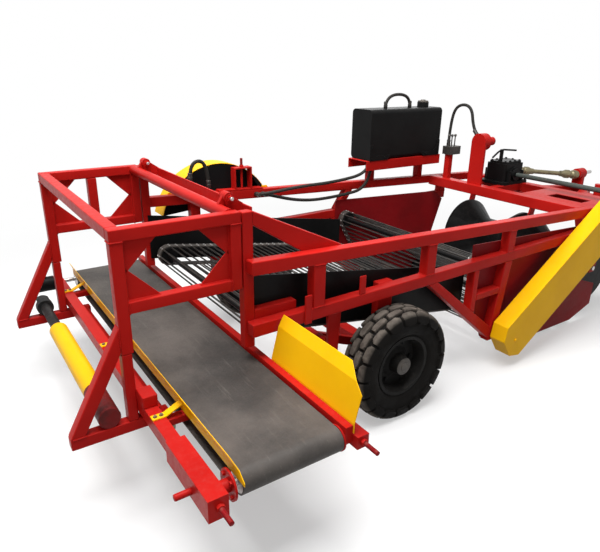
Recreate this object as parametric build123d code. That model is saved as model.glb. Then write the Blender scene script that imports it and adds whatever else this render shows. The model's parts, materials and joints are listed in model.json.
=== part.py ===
"""Trailed two-row potato harvester: digging web, rear web and a swinging cross conveyor."""
import os
from math import atan2, cos, hypot, pi, radians, sin, tan

from build123d import *

# Driving dimensions in millimetres. While modelling, x runs forward from the rear face of the conveyor
# gantry, y to the left from the centre plane and z up from the ground. Nodes are stored about the
# middle of the footprint (see STORE_AT).
FIT_GAP = 0.3                 # running and seating clearance
SWING_GAP = 7                 # clear room between the swinging gantry and the frame

# Main frame
POST = 60                     # square tube of the posts and the gantry
FRAME_HALF = 800              # centre plane to the outer face of the posts
RAIL_WIDE = 70
RAIL_TALL = 75
REAR_POST_LOW = 700
REAR_POST_TOP = 1460
RAIL_INSET = 12               # rails start this far ahead of the rear face of the rear posts
UPPER_RAIL_FRONT_X = 4420
UPPER_RAIL_TOP_REAR = 1214
UPPER_RAIL_TOP_FRONT = 1071
LOWER_RAIL_FRONT_X = 3950
LOWER_RAIL_LOW_REAR = 788
LOWER_RAIL_LOW_FRONT = 844
NEAR_UPRIGHTS_X = (1060, 1950, 2775, 3870)
FAR_UPRIGHTS_X = (1060, 3870)
UPRIGHT_WIDE = 80
LEANING_FOOT_X = 2485         # the far side has one leaning upright in place of two straight ones
LEANING_HEAD_X = 2600
BRACE_FOOT_X = 1300
BRACE_DEEP = 75
FRONT_POST_X = 2775
FRONT_POST_LOW = 205
FRONT_POST_LEAN = 85          # the foot of the front post stands this far behind its head
DIAGONAL_HEAD_X = 1985
DIAGONAL_DEEP = 90
DIAGONAL_FOOT_RISE = 25
LADDER_X = 2440
LADDER_BAR = 50
LADDER_RUNG_Z = 585
INNER_BAR_LONG = 270
INNER_BAR_Z = 855
STOP_TAB_X = 995
STOP_TAB_LOW = 786
STOP_TAB_TALL = 176
RAIL_TAB_X = 1394
RAIL_TAB_TALL = 118
TAB_LONG = 48
TAB_THICK = 12
BEAM_DEEP = 90
BEAM_LONG = 120
FRONT_BEAMS_X = (3700, 4300)
BEARER_WIDE = 70
DECK_THICK = 8
DECK_IN_Y = -150
WINDOW_X = (4006, 4156)
WINDOW_WIDE = 325
WINDOW_ROOM = 132             # near rail to the window
ANGLE_LEG = 90                # rear top beam, an angle with its open side to the rear
ANGLE_TALL = 86
ANGLE_THICK = 10
ANGLE_LOW = 1380

# Axle and wheels
AXLE_X = 1670
WHEEL_RADIUS = 375
WHEEL_ROOM = 30               # posts to the inner face of the tyre
TYRE_WIDE = 200
TYRE_SIDES = 36
TREAD_HALF = 84
TREAD_SINK = 12
BEAD_RISE = 4
FLANK_LOW = 45
FLANK_TOP = 45
LUG_TALL = 18
LUG_COUNT = 18
LUG_SHARE = 0.8               # part of the pitch that a lug takes up
LUG_TAPER = 0.9               # length of a lug's top to its foot
RIM_RADIUS = 205
RIM_HALF = 80
RIM_FLANGE = 12
RIM_WALL = 10
WELL_DEEP = 24
WELL_HALF = 38
DISC_SET = 10
HUB_RADIUS = 70
HUB_FLARE = 40
HUB_STEP = 20
HUB_CAP = 15
HUB_CAP_RADIUS = 58
AXLE_BEAM = 80
AXLE_LEG_LONG = 120
STUB_RADIUS = 28
ARM_TUBE_X = 1250             # tube that carries the trailing arms of the axle
ARM_TUBE_Z = 540
ARM_TUBE = 35
ARM_Y = 600
ARM_THICK = 40
ARM_DEEP = 30
HANGER_PLATE_LONG = 100
HANGER_PLATE = 20

# Webs: shafts are (x, z) in counter-clockwise order seen from the right
ROD_RADIUS = 5.5
ROD_SIDES = 4
ROD_SUNK = 10                 # rod ends stop this far inside the outer edge of the belt
ARC_STEPS = 8
WEB_BELT_WIDE = 55
WEB_BELT_THICK = 14
WEB_PITCH = 58
WEB_ROLLER = 62
WEB_ROLLER_WIDE = 70
WEB_ROLLER_LAP = 5
WEB_SHAFT = 18
CASE_LOW = (2885, 270)
DIG_WEB_ROOM = 17
DIG_WEB_SHAFTS = ((3600, 150), (2580, 805), CASE_LOW)
REAR_WEB_ROOM = 32
REAR_WEB_SHAFTS = ((2430, 537), (800, 790))

# Side plates and share
PLATE = 8
SHARE_PLATE = ((2480, 985), (3785, 930), (3910, 835), (3790, 480), (4240, 330),
               (4240, 130), (3950, 35), (3350, 35), (2690, 215), (2480, 700))
SHARE_REAR = (3715, 120)
SHARE_TIP = (4010, 38)
SHARE_THICK = 12
SHARE_POINTS = 6
SHARE_POINT_LONG = 110
CHEEK_REAR_X = 690
CHEEK_FRONT_X = 2490
CHEEK_BELOW = 45
CHEEK_ABOVE = 290

# Ridge rollers
RIDGE_X = 4260
RIDGE_Z = 455
RIDGE_END = 340
RIDGE_WAIST = 190
RIDGE_WAIST_HALF = 110
RIDGE_RIM = 30
RIDGE_Y = 375
RIDGE_SHAFT = 20
RIDGE_SIDE_GAP = 10
RIDGE_ROOM = 62               # share plates to the outer ridge arms
RIDGE_ARM_WIDE = 80
RIDGE_ARM_THICK = 16

# Conveyor gantry
PIVOT_AHEAD = 5               # pivot line ahead of the rear face of the rear posts
PIVOT_Z = 1505
PIVOT_PIN = 14
PIVOT_INSET = 120             # posts to the middle of a clevis
PIVOT_EYE = 28
PIVOT_TUBE = 32
PIVOT_TUBE_BACK = 35
PIVOT_TUBE_Z = 1440
EYE_LUG = 24
CLEVIS_THICK = 16
CLEVIS_GAP = 1
GANTRY_LONG = 653
GANTRY_TOP = 1466
GANTRY_BAR_TOP = 1112
GANTRY_POST_LOW = 850
GUSSET_LEG = 165
GUSSET_THICK = 8
FOOT_X = -279
FOOT_FRONT_X = 210
FOOT_TOP = 480
FOOT_TIE_SET = 20
LEG_HEAD_Z = 1000
LEG_DEEP = 62
HANGER = 50

# Cross conveyor
BELT_REAR_X = 210
BELT_WIDE = 510
BELT_TOP = 620
BELT_THICK = 8
BELT_ROLLER = 52
BELT_NEAR_Y = -1540
BELT_FAR_Y = 1150
BELT_SHAFT = 16
RAIL_ROOM = 12
SIDE_RAIL = 40
SIDE_RAIL_TALL = 70
SIDE_RAIL_RISE = 20
REAR_BEAM_LONG = 65
REAR_BEAM = 70
REAR_BEAM_NEAR_Y = -1250
IDLER_Y = -890
IDLER = 20
IDLER_GAP = 2
IDLER_EAR = 12
TENSION_LAP = 50              # channel over the end of the rear beam
TENSION_WIDE = 90
TENSION_LOW = 500
TENSION_PLATE = 10
TENSION_ROD = 10
TENSION_ROD_FROM_Y = -1300
TENSION_TIP_Y = -1730
TENSION_END_Y = -1630
FRONT_TENSION_FROM_Y = -1440
FRONT_TENSION_DEEP = 66
END_PLATE = 10
END_DISC = 70
END_BOSS = 30
DISC_X = 170
CROSSBARS_Y = (-1000, -150, 820)
CROSSBAR_TALL = 40
GUARD_THICK = 4
GUARD_ROOM = 12
STRIP_BELOW = 20
STRIP_BEND = 30
STRIP_ABOVE = 75
STRIP_LEAN = 20
STRIP_POINT = 100
STRIP_POINT_DROP = 5
BRACKET_WIDE = 40
BRACKET_THICK = 8
DEFLECTOR_LOW = 600
DEFLECTOR_BENDS = ((0, 50), (45, 230), (78, 290))     # (forward, above the lower edge)
DEFLECTOR_NEAR_Y = -1600
DEFLECTOR_ROOM = 85
DEFLECTOR_CUT = (130, 105)
STOWED_X = -90
STOWED_TUBE = 55
STOWED_INNER = 33
STOWED_NEAR_Y = -520
STOWED_FAR_Y = 330
STOWED_YOKE = 60
YOKE_EAR = 20
MOTOR_RADIUS = 55
MOTOR_LONG = 130
MOTOR_PORT = 16
MOTOR_PORT_TALL = 30

# Drive line
SHAFT_X = 4200
SHAFT_Z = 1166
SHAFT_RADIUS = 22
GEARBOX_Y = 280
GEARBOX_LONG = 380
GEARBOX_WIDE = 300
GEARBOX_FLANGE = 25
GEARBOX_BODY_LONG = 285
GEARBOX_BODY_WIDE = 225
GEARBOX_TALL = 195
GEARBOX_ROUND = 25
COVER_INSET = 14
COVER_THICK = 20
RIB_X = 96
RIB_THICK = 12
RIB_TALL = 130
BOSS_RADIUS = 58
BOSS_COLLAR = 74
BOSS_COLLAR_LONG = 14
LEVER_ROUTE = ((3990, 1330), (4100, 1400), (4345, 1375))
LEVER_RADIUS = 9
LEVER_POST_X = 4120
BEARING_HALF = 44
BEARING_TOP_HALF = 22
CASE_ROOM = 10                # rails to the inner face of the chain case
CASE_THICK = 130
CASE_HALF = 165
CASE_CUT = 82
CASE_BOSS = 54
CASE_TAB_LOW = 25
STAND_X = 5080
STAND_Z = 1120
STAND_RADIUS = 55
STAND_LONG = 110
STAND_WEB = 20
STAND_LAP = 30
JOINT_RADIUS = 42
JOINT_YOKE = 36
JOINT_CROSS = 18
JOINT_LONG = 110
STUB_TIP_X = 5290
STUB_PTO = 17.45
STUB_LONG = 145
STUB_NECK = 15                # plain neck that runs in the stand, behind the splined stub

# Hydraulics
TANK_LONG = 900
TANK_DEEP = 270
TANK_TALL = 450
TANK_FRONT_X = 3680
TANK_LAP = 100                # tank inwards of the outer face of the posts
TANK_LOW = 1330
TANK_ROUND = 40
CAP_BACK = 135                # filler cap behind the front of the tank
CAP_RADIUS = 55
CAP_TALL = 45
CORNER_LONG = 250
CORNER_TALL = 145
CORNER_ARM = 42
CORNER_CUT = 35
CORNER_THICK = 6
CRADLE_LIP = 90
CRADLE_LAP = 30
CRADLE_LEG_REAR = 100
CRADLE_LEG_FRONT = 160
STAND_PLATE = 20
PUMP_Z = 1490
DRUM_RADIUS = 80
DRUM_LONG = 90
PUMP_RADIUS = 40
PUMP_LONG = 110
VALVE_INSET = 180
VALVE_POST = 50
VALVE_LONG = 150
VALVE_LAP = 20
VALVE_TALL = 80
LEVERS_X = (3760, 3805, 3850)
LEVER_TALL = 100
LEVER_ROD = 6
KNOB = 14
HOSE = 12
HOSE_SIDES = 8
DRUM_HOSE_X = 3790
TANK_ARCH_BACK = 312
TANK_ARCH_LONG = 310
TANK_ARCH_TALL = 120
BRACE_ARCH_X = (1053, 1203)
BRACE_ARCH_TOP = 1453
# Hoses along the rail: (start x, inside the posts, lowest z, end ahead of the tank's rear)
RAIL_HOSES = ((1640, 70, 1172, 20), (1700, 38, 1027, 80))

# Drive hood and web adjuster
HOOD_X = 1340
HOOD_Z = 905
HOOD_RADIUS = 500
HOOD_WIDE = 190
HOOD_FROM = radians(25)
HOOD_TO = radians(165)
HOOD_TABS = (radians(30), radians(146))
HOOD_TAB_HALF = 30
HOOD_ROOM = 8
ADJUSTER_BASE_X = (1310, 1710)
ADJUSTER_X = (1450, 1610)
ADJUSTER_PLATE = 12
ADJUSTER_TOP = 1355
ADJUSTER_TIP = 1436

# Drawbar and jack
DRAWBAR_REAR_Y = 420
DRAWBAR_FRONT_Y = 85
DRAWBAR_WIDE = 90
DRAWBAR_TALL = 80
DRAWBAR_FRONT_X = 5100
HEAD_THICK = 25
HITCH_X = 5420
HITCH_Z = 500
EYE_BORE = 26
EYE_OUTER = 60
EYE_TALL = 44
EYE_ROOM = 10
JACK_X = 4860
JACK_Y = -350
JACK_TUBE = 40
JACK_LEG = 33
JACK_LOW = 620
JACK_TOP = 1090
JACK_FOOT = 95
JACK_FOOT_TALL = 28
JACK_LEG_TOP = 760

# Derived places
BELT_TIP_Y = BELT_FAR_Y + BELT_ROLLER + FIT_GAP + BELT_THICK
STORE_AT = (-(FOOT_X + HITCH_X + EYE_OUTER) / 2, -(TENSION_TIP_Y + BELT_TIP_Y) / 2, 0)
POST_IN = FRAME_HALF - POST
RAIL_OUT = FRAME_HALF + RAIL_WIDE
REAR_POST_X = GANTRY_LONG + SWING_GAP
RAIL_REAR_X = REAR_POST_X + RAIL_INSET
PIVOT_X = REAR_POST_X + PIVOT_AHEAD
PIVOT_Y = POST_IN - PIVOT_INSET
PIVOT_TUBE_X = GANTRY_LONG - PIVOT_TUBE_BACK
GANTRY_MID_X = (GANTRY_LONG - POST) / 2
AXLE_Z = WHEEL_RADIUS
WHEEL_INNER_Y = FRAME_HALF + WHEEL_ROOM
BELT_FRONT_X = BELT_REAR_X + BELT_WIDE
BELT_AXIS_Z = BELT_TOP - BELT_THICK - BELT_ROLLER
BEAM_FACE_X = HANGER + REAR_BEAM_LONG
SIDE_RAIL_X = BELT_FRONT_X + RAIL_ROOM
SIDE_RAIL_FACE = SIDE_RAIL_X + SIDE_RAIL
CASE_IN_Y = -RAIL_OUT - CASE_ROOM
SHARE_IN = FRAME_HALF - PLATE
CHEEK_IN = POST_IN - PLATE
RIDGE_HALF = SHARE_IN - RIDGE_ROOM - RIDGE_SIDE_GAP - RIDGE_Y
DIG_WEB_HALF = SHARE_IN - DIG_WEB_ROOM
REAR_WEB_HALF = CHEEK_IN - REAR_WEB_ROOM
WEB_ROD_LOOP = WEB_ROLLER + FIT_GAP + WEB_BELT_THICK / 2
TANK_X = TANK_FRONT_X - TANK_LONG
TANK_Y = FRAME_HALF - TANK_LAP
TANK_TOP = TANK_LOW + TANK_TALL
HOSE_Y = TANK_Y + TANK_DEEP / 2
PUMP_STAND_X = FRONT_BEAMS_X[0] + BEAM_LONG / 2
VALVE_Y = FRAME_HALF - VALVE_INSET

os.makedirs("parts", exist_ok=True)


def box(x, y, z):
    """Block between the two values given on each axis."""
    size = [abs(v[1] - v[0]) for v in (x, y, z)]
    middle = [(v[0] + v[1]) / 2 for v in (x, y, z)]
    return Pos(*middle) * Box(*size)


def side_slab(outline, y_from, y_to):
    """Plate of an (x, z) outline between two y planes."""
    low, high = sorted((y_from, y_to))
    face = make_face(Polyline(*[(x, low, z) for x, z in outline], close=True))
    return extrude(face, high - low, dir=(0, 1, 0))


def plan_slab(outline, z_from, z_to):
    """Plate of an (x, y) outline between two levels."""
    face = make_face(Polyline(*[(x, y, z_from) for x, y in outline], close=True))
    return extrude(face, z_to - z_from, dir=(0, 0, 1))


def end_slab(outline, x_from, x_to):
    """Plate of a (y, z) outline between two x planes."""
    face = make_face(Polyline(*[(x_from, y, z) for y, z in outline], close=True))
    return extrude(face, x_to - x_from, dir=(1, 0, 0))


def band(x_from, x_to, low, top):
    """Outline (x, z) between two levels, each a number or a slope along x."""
    low_at = low if callable(low) else lambda x: low
    top_at = top if callable(top) else lambda x: top
    return [(x_from, low_at(x_from)), (x_to, low_at(x_to)), (x_to, top_at(x_to)), (x_from, top_at(x_from))]


def rod(start, end, radius):
    """Round bar between two points."""
    run = Vector(*end) - Vector(*start)
    along = Plane(origin=start, z_dir=run)
    return along * Cylinder(radius, run.length, align=(Align.CENTER, Align.CENTER, Align.MIN))


def cross_rod(x, z, y_from, y_to, radius):
    """Round bar across the machine."""
    return rod((x, y_from, z), (x, y_to, z), radius)


def long_rod(y, z, x_from, x_to, radius):
    """Round bar along the machine."""
    return rod((x_from, y, z), (x_to, y, z), radius)


def bent_rod(points, radius):
    """Round bar or hose along a route; each bend is as wide as its two runs allow."""
    route = [Vector(*p) for p in points]
    bends = []
    for before, corner, after in zip(route, route[1:], route[2:]):
        turn = radians((corner - before).get_angle(after - corner))
        bends.append(0.45 * min((corner - before).length, (after - corner).length) / tan(turn / 2))
    path = FilletPolyline(*route, radius=bends)
    section = Plane(origin=path @ 0, z_dir=path % 0) * RegularPolygon(radius, HOSE_SIDES)
    return sweep(section, path=path)


def spin(profile, x, z, y_middle, side=1):
    """Revolve a (y, radius) profile about the cross axis through (x, z); side -1 turns it round."""
    face = make_face(Polyline(*[(x, y_middle + side * y, z + r) for y, r in profile], close=True))
    return revolve(face, Axis((x, 0, z), (0, 1, 0)))


def flipped(solid):
    """Mirror image across the centre plane."""
    return mirror(solid, about=Plane.XZ)


def pair(solid):
    """A piece and its mirror image across the centre plane."""
    return [solid, flipped(solid)]


def node(name, *pieces):
    """Write the solids of one node, placed about the middle of the footprint."""
    solids = [s.moved(Location(STORE_AT)) for piece in pieces for s in piece.solids()]
    whole = solids[0] if len(solids) == 1 else Compound(children=solids)
    export_step(whole, f"parts/{name}.step")


def upper_top(x):
    run = (x - RAIL_REAR_X) / (UPPER_RAIL_FRONT_X - RAIL_REAR_X)
    return UPPER_RAIL_TOP_REAR + run * (UPPER_RAIL_TOP_FRONT - UPPER_RAIL_TOP_REAR)


def upper_low(x):
    return upper_top(x) - RAIL_TALL


def lower_low(x):
    run = (x - RAIL_REAR_X) / (LOWER_RAIL_FRONT_X - RAIL_REAR_X)
    return LOWER_RAIL_LOW_REAR + run * (LOWER_RAIL_LOW_FRONT - LOWER_RAIL_LOW_REAR)


def lower_top(x):
    return lower_low(x) + RAIL_TALL


def beam_low(x):
    return upper_top(x) - BEAM_DEEP


def brace_top(x):
    start = REAR_POST_X + POST
    run = (x - start) / (BRACE_FOOT_X - start)
    return REAR_POST_TOP + run * (upper_top(BRACE_FOOT_X) - REAR_POST_TOP)


def post_rear(z):
    """Rear face of the leaning front post at a level."""
    head = lower_low(FRONT_POST_X)
    return FRONT_POST_X - FRONT_POST_LEAN * (head - z) / (head - FRONT_POST_LOW)


def diagonal_top(x):
    foot_z = FRONT_POST_LOW + DIAGONAL_FOOT_RISE + DIAGONAL_DEEP
    head_x = DIAGONAL_HEAD_X + DIAGONAL_DEEP
    run = (x - head_x) / (post_rear(foot_z) - head_x)
    return lower_low(head_x) + run * (foot_z - lower_low(head_x))


def rear_web_line(x):
    (front_x, front_z), (rear_x, rear_z) = REAR_WEB_SHAFTS
    return rear_z + (x - rear_x) / (front_x - rear_x) * (front_z - rear_z)


def rails_and_posts():
    upper = side_slab(band(RAIL_REAR_X, UPPER_RAIL_FRONT_X, upper_low, upper_top), FRAME_HALF, RAIL_OUT)
    lower = side_slab(band(RAIL_REAR_X, LOWER_RAIL_FRONT_X, lower_low, lower_top), FRAME_HALF, RAIL_OUT)
    node("side_rails", *pair(upper), *pair(lower))
    post_front = REAR_POST_X + POST
    post = box((REAR_POST_X, post_front), (POST_IN, FRAME_HALF), (REAR_POST_LOW, REAR_POST_TOP))
    leg_half = AXLE_LEG_LONG / 2
    leg = box((AXLE_X - leg_half, AXLE_X + leg_half), (POST_IN, FRAME_HALF),
              (AXLE_Z + AXLE_BEAM / 2, lower_top(AXLE_X)))
    node("frame_posts", *pair(post), *pair(leg))


def uprights_and_tabs():
    def upright(x):
        return side_slab(band(x, x + UPRIGHT_WIDE, lower_top, upper_low), FRAME_HALF, RAIL_OUT)

    near = [flipped(upright(x)) for x in NEAR_UPRIGHTS_X]
    far = [upright(x) for x in FAR_UPRIGHTS_X]
    foot, foot_front = LEANING_FOOT_X, LEANING_FOOT_X + UPRIGHT_WIDE
    head, head_front = LEANING_HEAD_X, LEANING_HEAD_X + UPRIGHT_WIDE
    leaning = [(foot, lower_top(foot)), (foot_front, lower_top(foot_front)),
               (head_front, upper_low(head_front)), (head, upper_low(head))]
    far.append(side_slab(leaning, FRAME_HALF, RAIL_OUT))
    head = FRONT_POST_X + UPRIGHT_WIDE
    foot = post_rear(FRONT_POST_LOW)
    front_post = [(FRONT_POST_X, lower_low(FRONT_POST_X)), (head, lower_low(head)),
                  (foot + UPRIGHT_WIDE, FRONT_POST_LOW), (foot, FRONT_POST_LOW)]
    rail_tab = band(RAIL_TAB_X, RAIL_TAB_X + TAB_LONG, lower_top, lower_top(RAIL_TAB_X) + RAIL_TAB_TALL)
    stop_tab = band(STOP_TAB_X, STOP_TAB_X + TAB_LONG, STOP_TAB_LOW, STOP_TAB_LOW + STOP_TAB_TALL)
    node("frame_uprights", *near, *far, *pair(side_slab(front_post, FRAME_HALF, RAIL_OUT)),
         *pair(side_slab(rail_tab, RAIL_OUT - TAB_THICK, RAIL_OUT)),
         *pair(side_slab(stop_tab, RAIL_OUT, RAIL_OUT + TAB_THICK)))


def braces():
    post_front = REAR_POST_X + POST
    foot_low = upper_low(BRACE_FOOT_X)
    brace = [(post_front, REAR_POST_TOP), (post_front, REAR_POST_TOP - BRACE_DEEP),
             (BRACE_FOOT_X - 2 * BRACE_DEEP, foot_low), (BRACE_FOOT_X, foot_low),
             (BRACE_FOOT_X, upper_top(BRACE_FOOT_X))]
    low = FRONT_POST_LOW + DIAGONAL_FOOT_RISE
    high = low + DIAGONAL_DEEP
    head, head_front = DIAGONAL_HEAD_X, DIAGONAL_HEAD_X + DIAGONAL_DEEP
    diagonal = [(head, lower_low(head)), (head_front, lower_low(head_front)), (post_rear(high), high),
                (post_rear(low), low)]
    ladder_front = LADDER_X + LADDER_BAR
    ladder = band(LADDER_X, ladder_front, diagonal_top, lower_low)
    rung_top = LADDER_RUNG_Z + LADDER_BAR
    rung = [(ladder_front, LADDER_RUNG_Z), (post_rear(LADDER_RUNG_Z), LADDER_RUNG_Z),
            (post_rear(rung_top), rung_top), (ladder_front, rung_top)]
    outer = [piece for outline in (diagonal, ladder, rung)
             for piece in pair(side_slab(outline, FRAME_HALF, RAIL_OUT))]
    inner_bar = box((post_front, post_front + INNER_BAR_LONG), (POST_IN, FRAME_HALF),
                    (INNER_BAR_Z, INNER_BAR_Z + POST))
    node("frame_braces", *pair(side_slab(brace, POST_IN, FRAME_HALF)), *outer, *pair(inner_bar))


def front_beams_and_deck():
    beams = [side_slab(band(x, x + BEAM_LONG, beam_low, upper_top), -FRAME_HALF, FRAME_HALF)
             for x in FRONT_BEAMS_X]
    node("front_beams", *beams)
    rear, front = FRONT_BEAMS_X[0] + BEAM_LONG, FRONT_BEAMS_X[1]
    top = upper_top(front)
    bearers = []
    for y in (GEARBOX_Y - GEARBOX_WIDE / 2, GEARBOX_Y + GEARBOX_WIDE / 2 - BEARER_WIDE):
        bearers.append(box((rear, front), (y, y + BEARER_WIDE), (top - BEARER_WIDE, top)))
    deck = box((rear, front), (-FRAME_HALF, DECK_IN_Y), (top - DECK_THICK, top))
    window_y = WINDOW_ROOM - FRAME_HALF
    deck -= box(WINDOW_X, (window_y, window_y + WINDOW_WIDE), (top - DECK_THICK, top))
    node("gearbox_bearers", *bearers, deck)


def rear_beam_and_pins():
    """Rear top beam with two clevises that carry the gantry's lugs."""
    front = REAR_POST_X + ANGLE_LEG
    floor = ANGLE_LOW + ANGLE_THICK
    top = ANGLE_LOW + ANGLE_TALL
    beam = box((REAR_POST_X, front), (-POST_IN, POST_IN), (ANGLE_LOW, floor))
    beam += box((front - ANGLE_THICK, front), (-POST_IN, POST_IN), (ANGLE_LOW, top))
    reach = EYE_LUG / 2 + CLEVIS_GAP + CLEVIS_THICK
    outline = [(PIVOT_X - PIVOT_EYE, PIVOT_Z), (PIVOT_X - PIVOT_EYE / 2, REAR_POST_TOP),
               (REAR_POST_X, PIVOT_TUBE_Z), (REAR_POST_X, floor), (front, floor), (front, top),
               (PIVOT_X + PIVOT_EYE, PIVOT_Z)]
    for y in (-PIVOT_Y, PIVOT_Y):
        for side in (-1, 1):
            inner = y + side * (EYE_LUG / 2 + CLEVIS_GAP)
            outer = y + side * reach
            cheek = side_slab(outline, inner, outer) + cross_rod(PIVOT_X, PIVOT_Z, inner, outer, PIVOT_EYE)
            beam += cheek - cross_rod(PIVOT_X, PIVOT_Z, y - 2 * reach, y + 2 * reach, PIVOT_PIN + FIT_GAP)
    node("rear_top_beam", beam)
    node("pivot_pins", *[cross_rod(PIVOT_X, PIVOT_Z, y - reach - PIVOT_PIN, y + reach + PIVOT_PIN, PIVOT_PIN)
                         for y in (-PIVOT_Y, PIVOT_Y)])


def axle():
    """Axle on two trailing arms, with the tube that they are welded to and its hanger plates."""
    half = AXLE_BEAM / 2
    beam = box((AXLE_X - half, AXLE_X + half), (-FRAME_HALF, FRAME_HALF), (AXLE_Z - half, AXLE_Z + half))
    tip = WHEEL_INNER_Y + TYRE_WIDE / 2 + RIM_HALF - HUB_CAP - FIT_GAP
    beam += cross_rod(AXLE_X, AXLE_Z, -tip, tip, STUB_RADIUS)
    beam += cross_rod(ARM_TUBE_X, ARM_TUBE_Z, -FRAME_HALF, FRAME_HALF, ARM_TUBE)
    arm = [(ARM_TUBE_X, ARM_TUBE_Z - ARM_DEEP), (AXLE_X, AXLE_Z - ARM_DEEP), (AXLE_X, AXLE_Z + ARM_DEEP),
           (ARM_TUBE_X, ARM_TUBE_Z + ARM_DEEP)]
    beam = beam.fuse(*pair(side_slab(arm, ARM_Y, ARM_Y + ARM_THICK)))
    rear, front = ARM_TUBE_X - HANGER_PLATE_LONG / 2, ARM_TUBE_X + HANGER_PLATE_LONG / 2
    low = ARM_TUBE_Z - ARM_TUBE
    plate = [(ARM_TUBE_X - ARM_TUBE, low), (ARM_TUBE_X + ARM_TUBE, low), (front, lower_low(front)),
             (rear, lower_low(rear))]
    node("axle_beam", beam, *pair(side_slab(plate, FRAME_HALF, FRAME_HALF + HANGER_PLATE)))


def tyre(middle):
    """Carcass with flat sides and two staggered rows of blocks."""
    half = TYRE_WIDE / 2
    crown = WHEEL_RADIUS - LUG_TALL
    seat = RIM_HALF - RIM_FLANGE
    flank = [(seat, RIM_RADIUS + BEAD_RISE), (half, RIM_RADIUS + FLANK_LOW), (half, crown - FLANK_TOP),
             (TREAD_HALF, crown - TREAD_SINK)]
    rings = [(-y, r) for y, r in flank] + flank[::-1]
    facing = [Plane(origin=(0, y, 0), x_dir=(1, 0, 0), z_dir=(0, 1, 0)) for y, _ in rings]
    sections = [place * RegularPolygon(r, TYRE_SIDES) for place, (_, r) in zip(facing, rings)]
    carcass = loft(sections, ruled=True)

    def core(radius):
        return extrude(Plane.XZ * RegularPolygon(radius, TYRE_SIDES), TYRE_WIDE, both=True)

    carcass -= core((RIM_RADIUS - RIM_FLANGE) / cos(pi / TYRE_SIDES))
    foot = LUG_SHARE * pi / LUG_COUNT
    top = LUG_TAPER * foot
    corners = ((-foot, crown), (-top, WHEEL_RADIUS), (top, WHEEL_RADIUS), (foot, crown))
    for row in (0, 1):
        outline = []
        for i in range(LUG_COUNT):
            turn = (2 * i + row) * pi / LUG_COUNT + top
            outline += [(r * sin(turn + t), r * cos(turn + t)) for t, r in corners]
        carcass += side_slab(outline, 0, (2 * row - 1) * TREAD_HALF) - core(crown - FLANK_TOP)
    return Pos(AXLE_X, middle, AXLE_Z) * carcass


def wheels():
    bore = STUB_RADIUS + FIT_GAP
    lip = RIM_HALF - RIM_FLANGE + FIT_GAP
    base = RIM_RADIUS - RIM_FLANGE - FIT_GAP
    well = base - WELL_DEEP
    cap = RIM_HALF - HUB_CAP
    rim_profile = [(-RIM_HALF, base - RIM_WALL), (-RIM_HALF, RIM_RADIUS), (-lip, RIM_RADIUS), (-lip, base),
                   (lip, base), (lip, RIM_RADIUS), (RIM_HALF, RIM_RADIUS), (RIM_HALF, base - RIM_WALL),
                   (WELL_HALF, well), (-DISC_SET, well), (-DISC_SET, HUB_RADIUS + HUB_FLARE),
                   (HUB_STEP, HUB_RADIUS), (RIM_HALF, HUB_CAP_RADIUS), (RIM_HALF, 0), (cap, 0), (cap, bore),
                   (-RIM_HALF, bore), (-RIM_HALF, HUB_RADIUS), (-2 * DISC_SET, HUB_RADIUS),
                   (-2 * DISC_SET, well), (-WELL_HALF, well)]
    for name, side in (("right", -1), ("left", 1)):
        middle = side * (WHEEL_INNER_Y + TYRE_WIDE / 2)
        node(f"tyre_{name}", tyre(middle))
        node(f"rim_{name}", spin(rim_profile, AXLE_X, AXLE_Z, middle, side))


def loop_runs(shafts):
    """Centre, first and last outward angle of each corner of a belt loop round the shafts."""
    count = len(shafts)
    facing = [atan2(shafts[(i + 1) % count][1] - z, shafts[(i + 1) % count][0] - x) - pi / 2
              for i, (x, z) in enumerate(shafts)]
    return [(shafts[i], facing[i - 1], facing[i - 1] + (facing[i] - facing[i - 1]) % (2 * pi))
            for i in range(count)]


def loop_outline(shafts, radius):
    """Outline of the loop: straight runs, and short flats that touch a circle about each shaft."""
    outline = []
    for (x, z), first, last in loop_runs(shafts):
        step = (last - first) / ARC_STEPS
        reach = radius / cos(step / 2)
        turns = [first] + [first + (i + 0.5) * step for i in range(ARC_STEPS)] + [last]
        reaches = [radius] + [reach] * ARC_STEPS + [radius]
        outline += [(x + r * cos(t), z + r * sin(t)) for t, r in zip(turns, reaches)]
    return outline


def loop_stations(shafts, radius, pitch):
    """Evenly spaced (x, z, outward angle) along the loop at the given radius."""
    spans = []
    corners = loop_runs(shafts)
    for i, ((x, z), first, last) in enumerate(corners):
        (next_x, next_z), _, _ = corners[(i + 1) % len(corners)]
        spans.append(("arc", radius * (last - first), x, z, first, 0, 0))
        spans.append(("run", hypot(next_x - x, next_z - z), x, z, last, next_x - x, next_z - z))
    total = sum(span[1] for span in spans)
    count = round(total / pitch)
    for k in range(count):
        s = k * total / count
        for kind, length, x, z, turn, dx, dz in spans:
            if s <= length:
                break
            s -= length
        if kind == "arc":
            turn += s / radius
        along = s / length
        yield x + dx * along + radius * cos(turn), z + dz * along + radius * sin(turn), turn


def web(name, shafts, half):
    """Rod chain: two edge belts with rods let into them."""
    inner = WEB_ROLLER + FIT_GAP
    rods = []
    for x, z, turn in loop_stations(shafts, WEB_ROD_LOOP, WEB_PITCH):
        turns = [turn + i * 2 * pi / ROD_SIDES for i in range(ROD_SIDES)]
        corners = [(x + ROD_RADIUS * cos(t), z + ROD_RADIUS * sin(t)) for t in turns]
        rods.append(side_slab(corners, -half + ROD_SUNK, half - ROD_SUNK))
    outside = loop_outline(shafts, inner + WEB_BELT_THICK)
    inside = loop_outline(shafts, inner)
    belts = [side_slab(outside, y, y + WEB_BELT_WIDE) - side_slab(inside, y, y + WEB_BELT_WIDE)
             for y in (-half, half - WEB_BELT_WIDE)]
    node(name, belts[0].fuse(belts[1], *rods))


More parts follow.
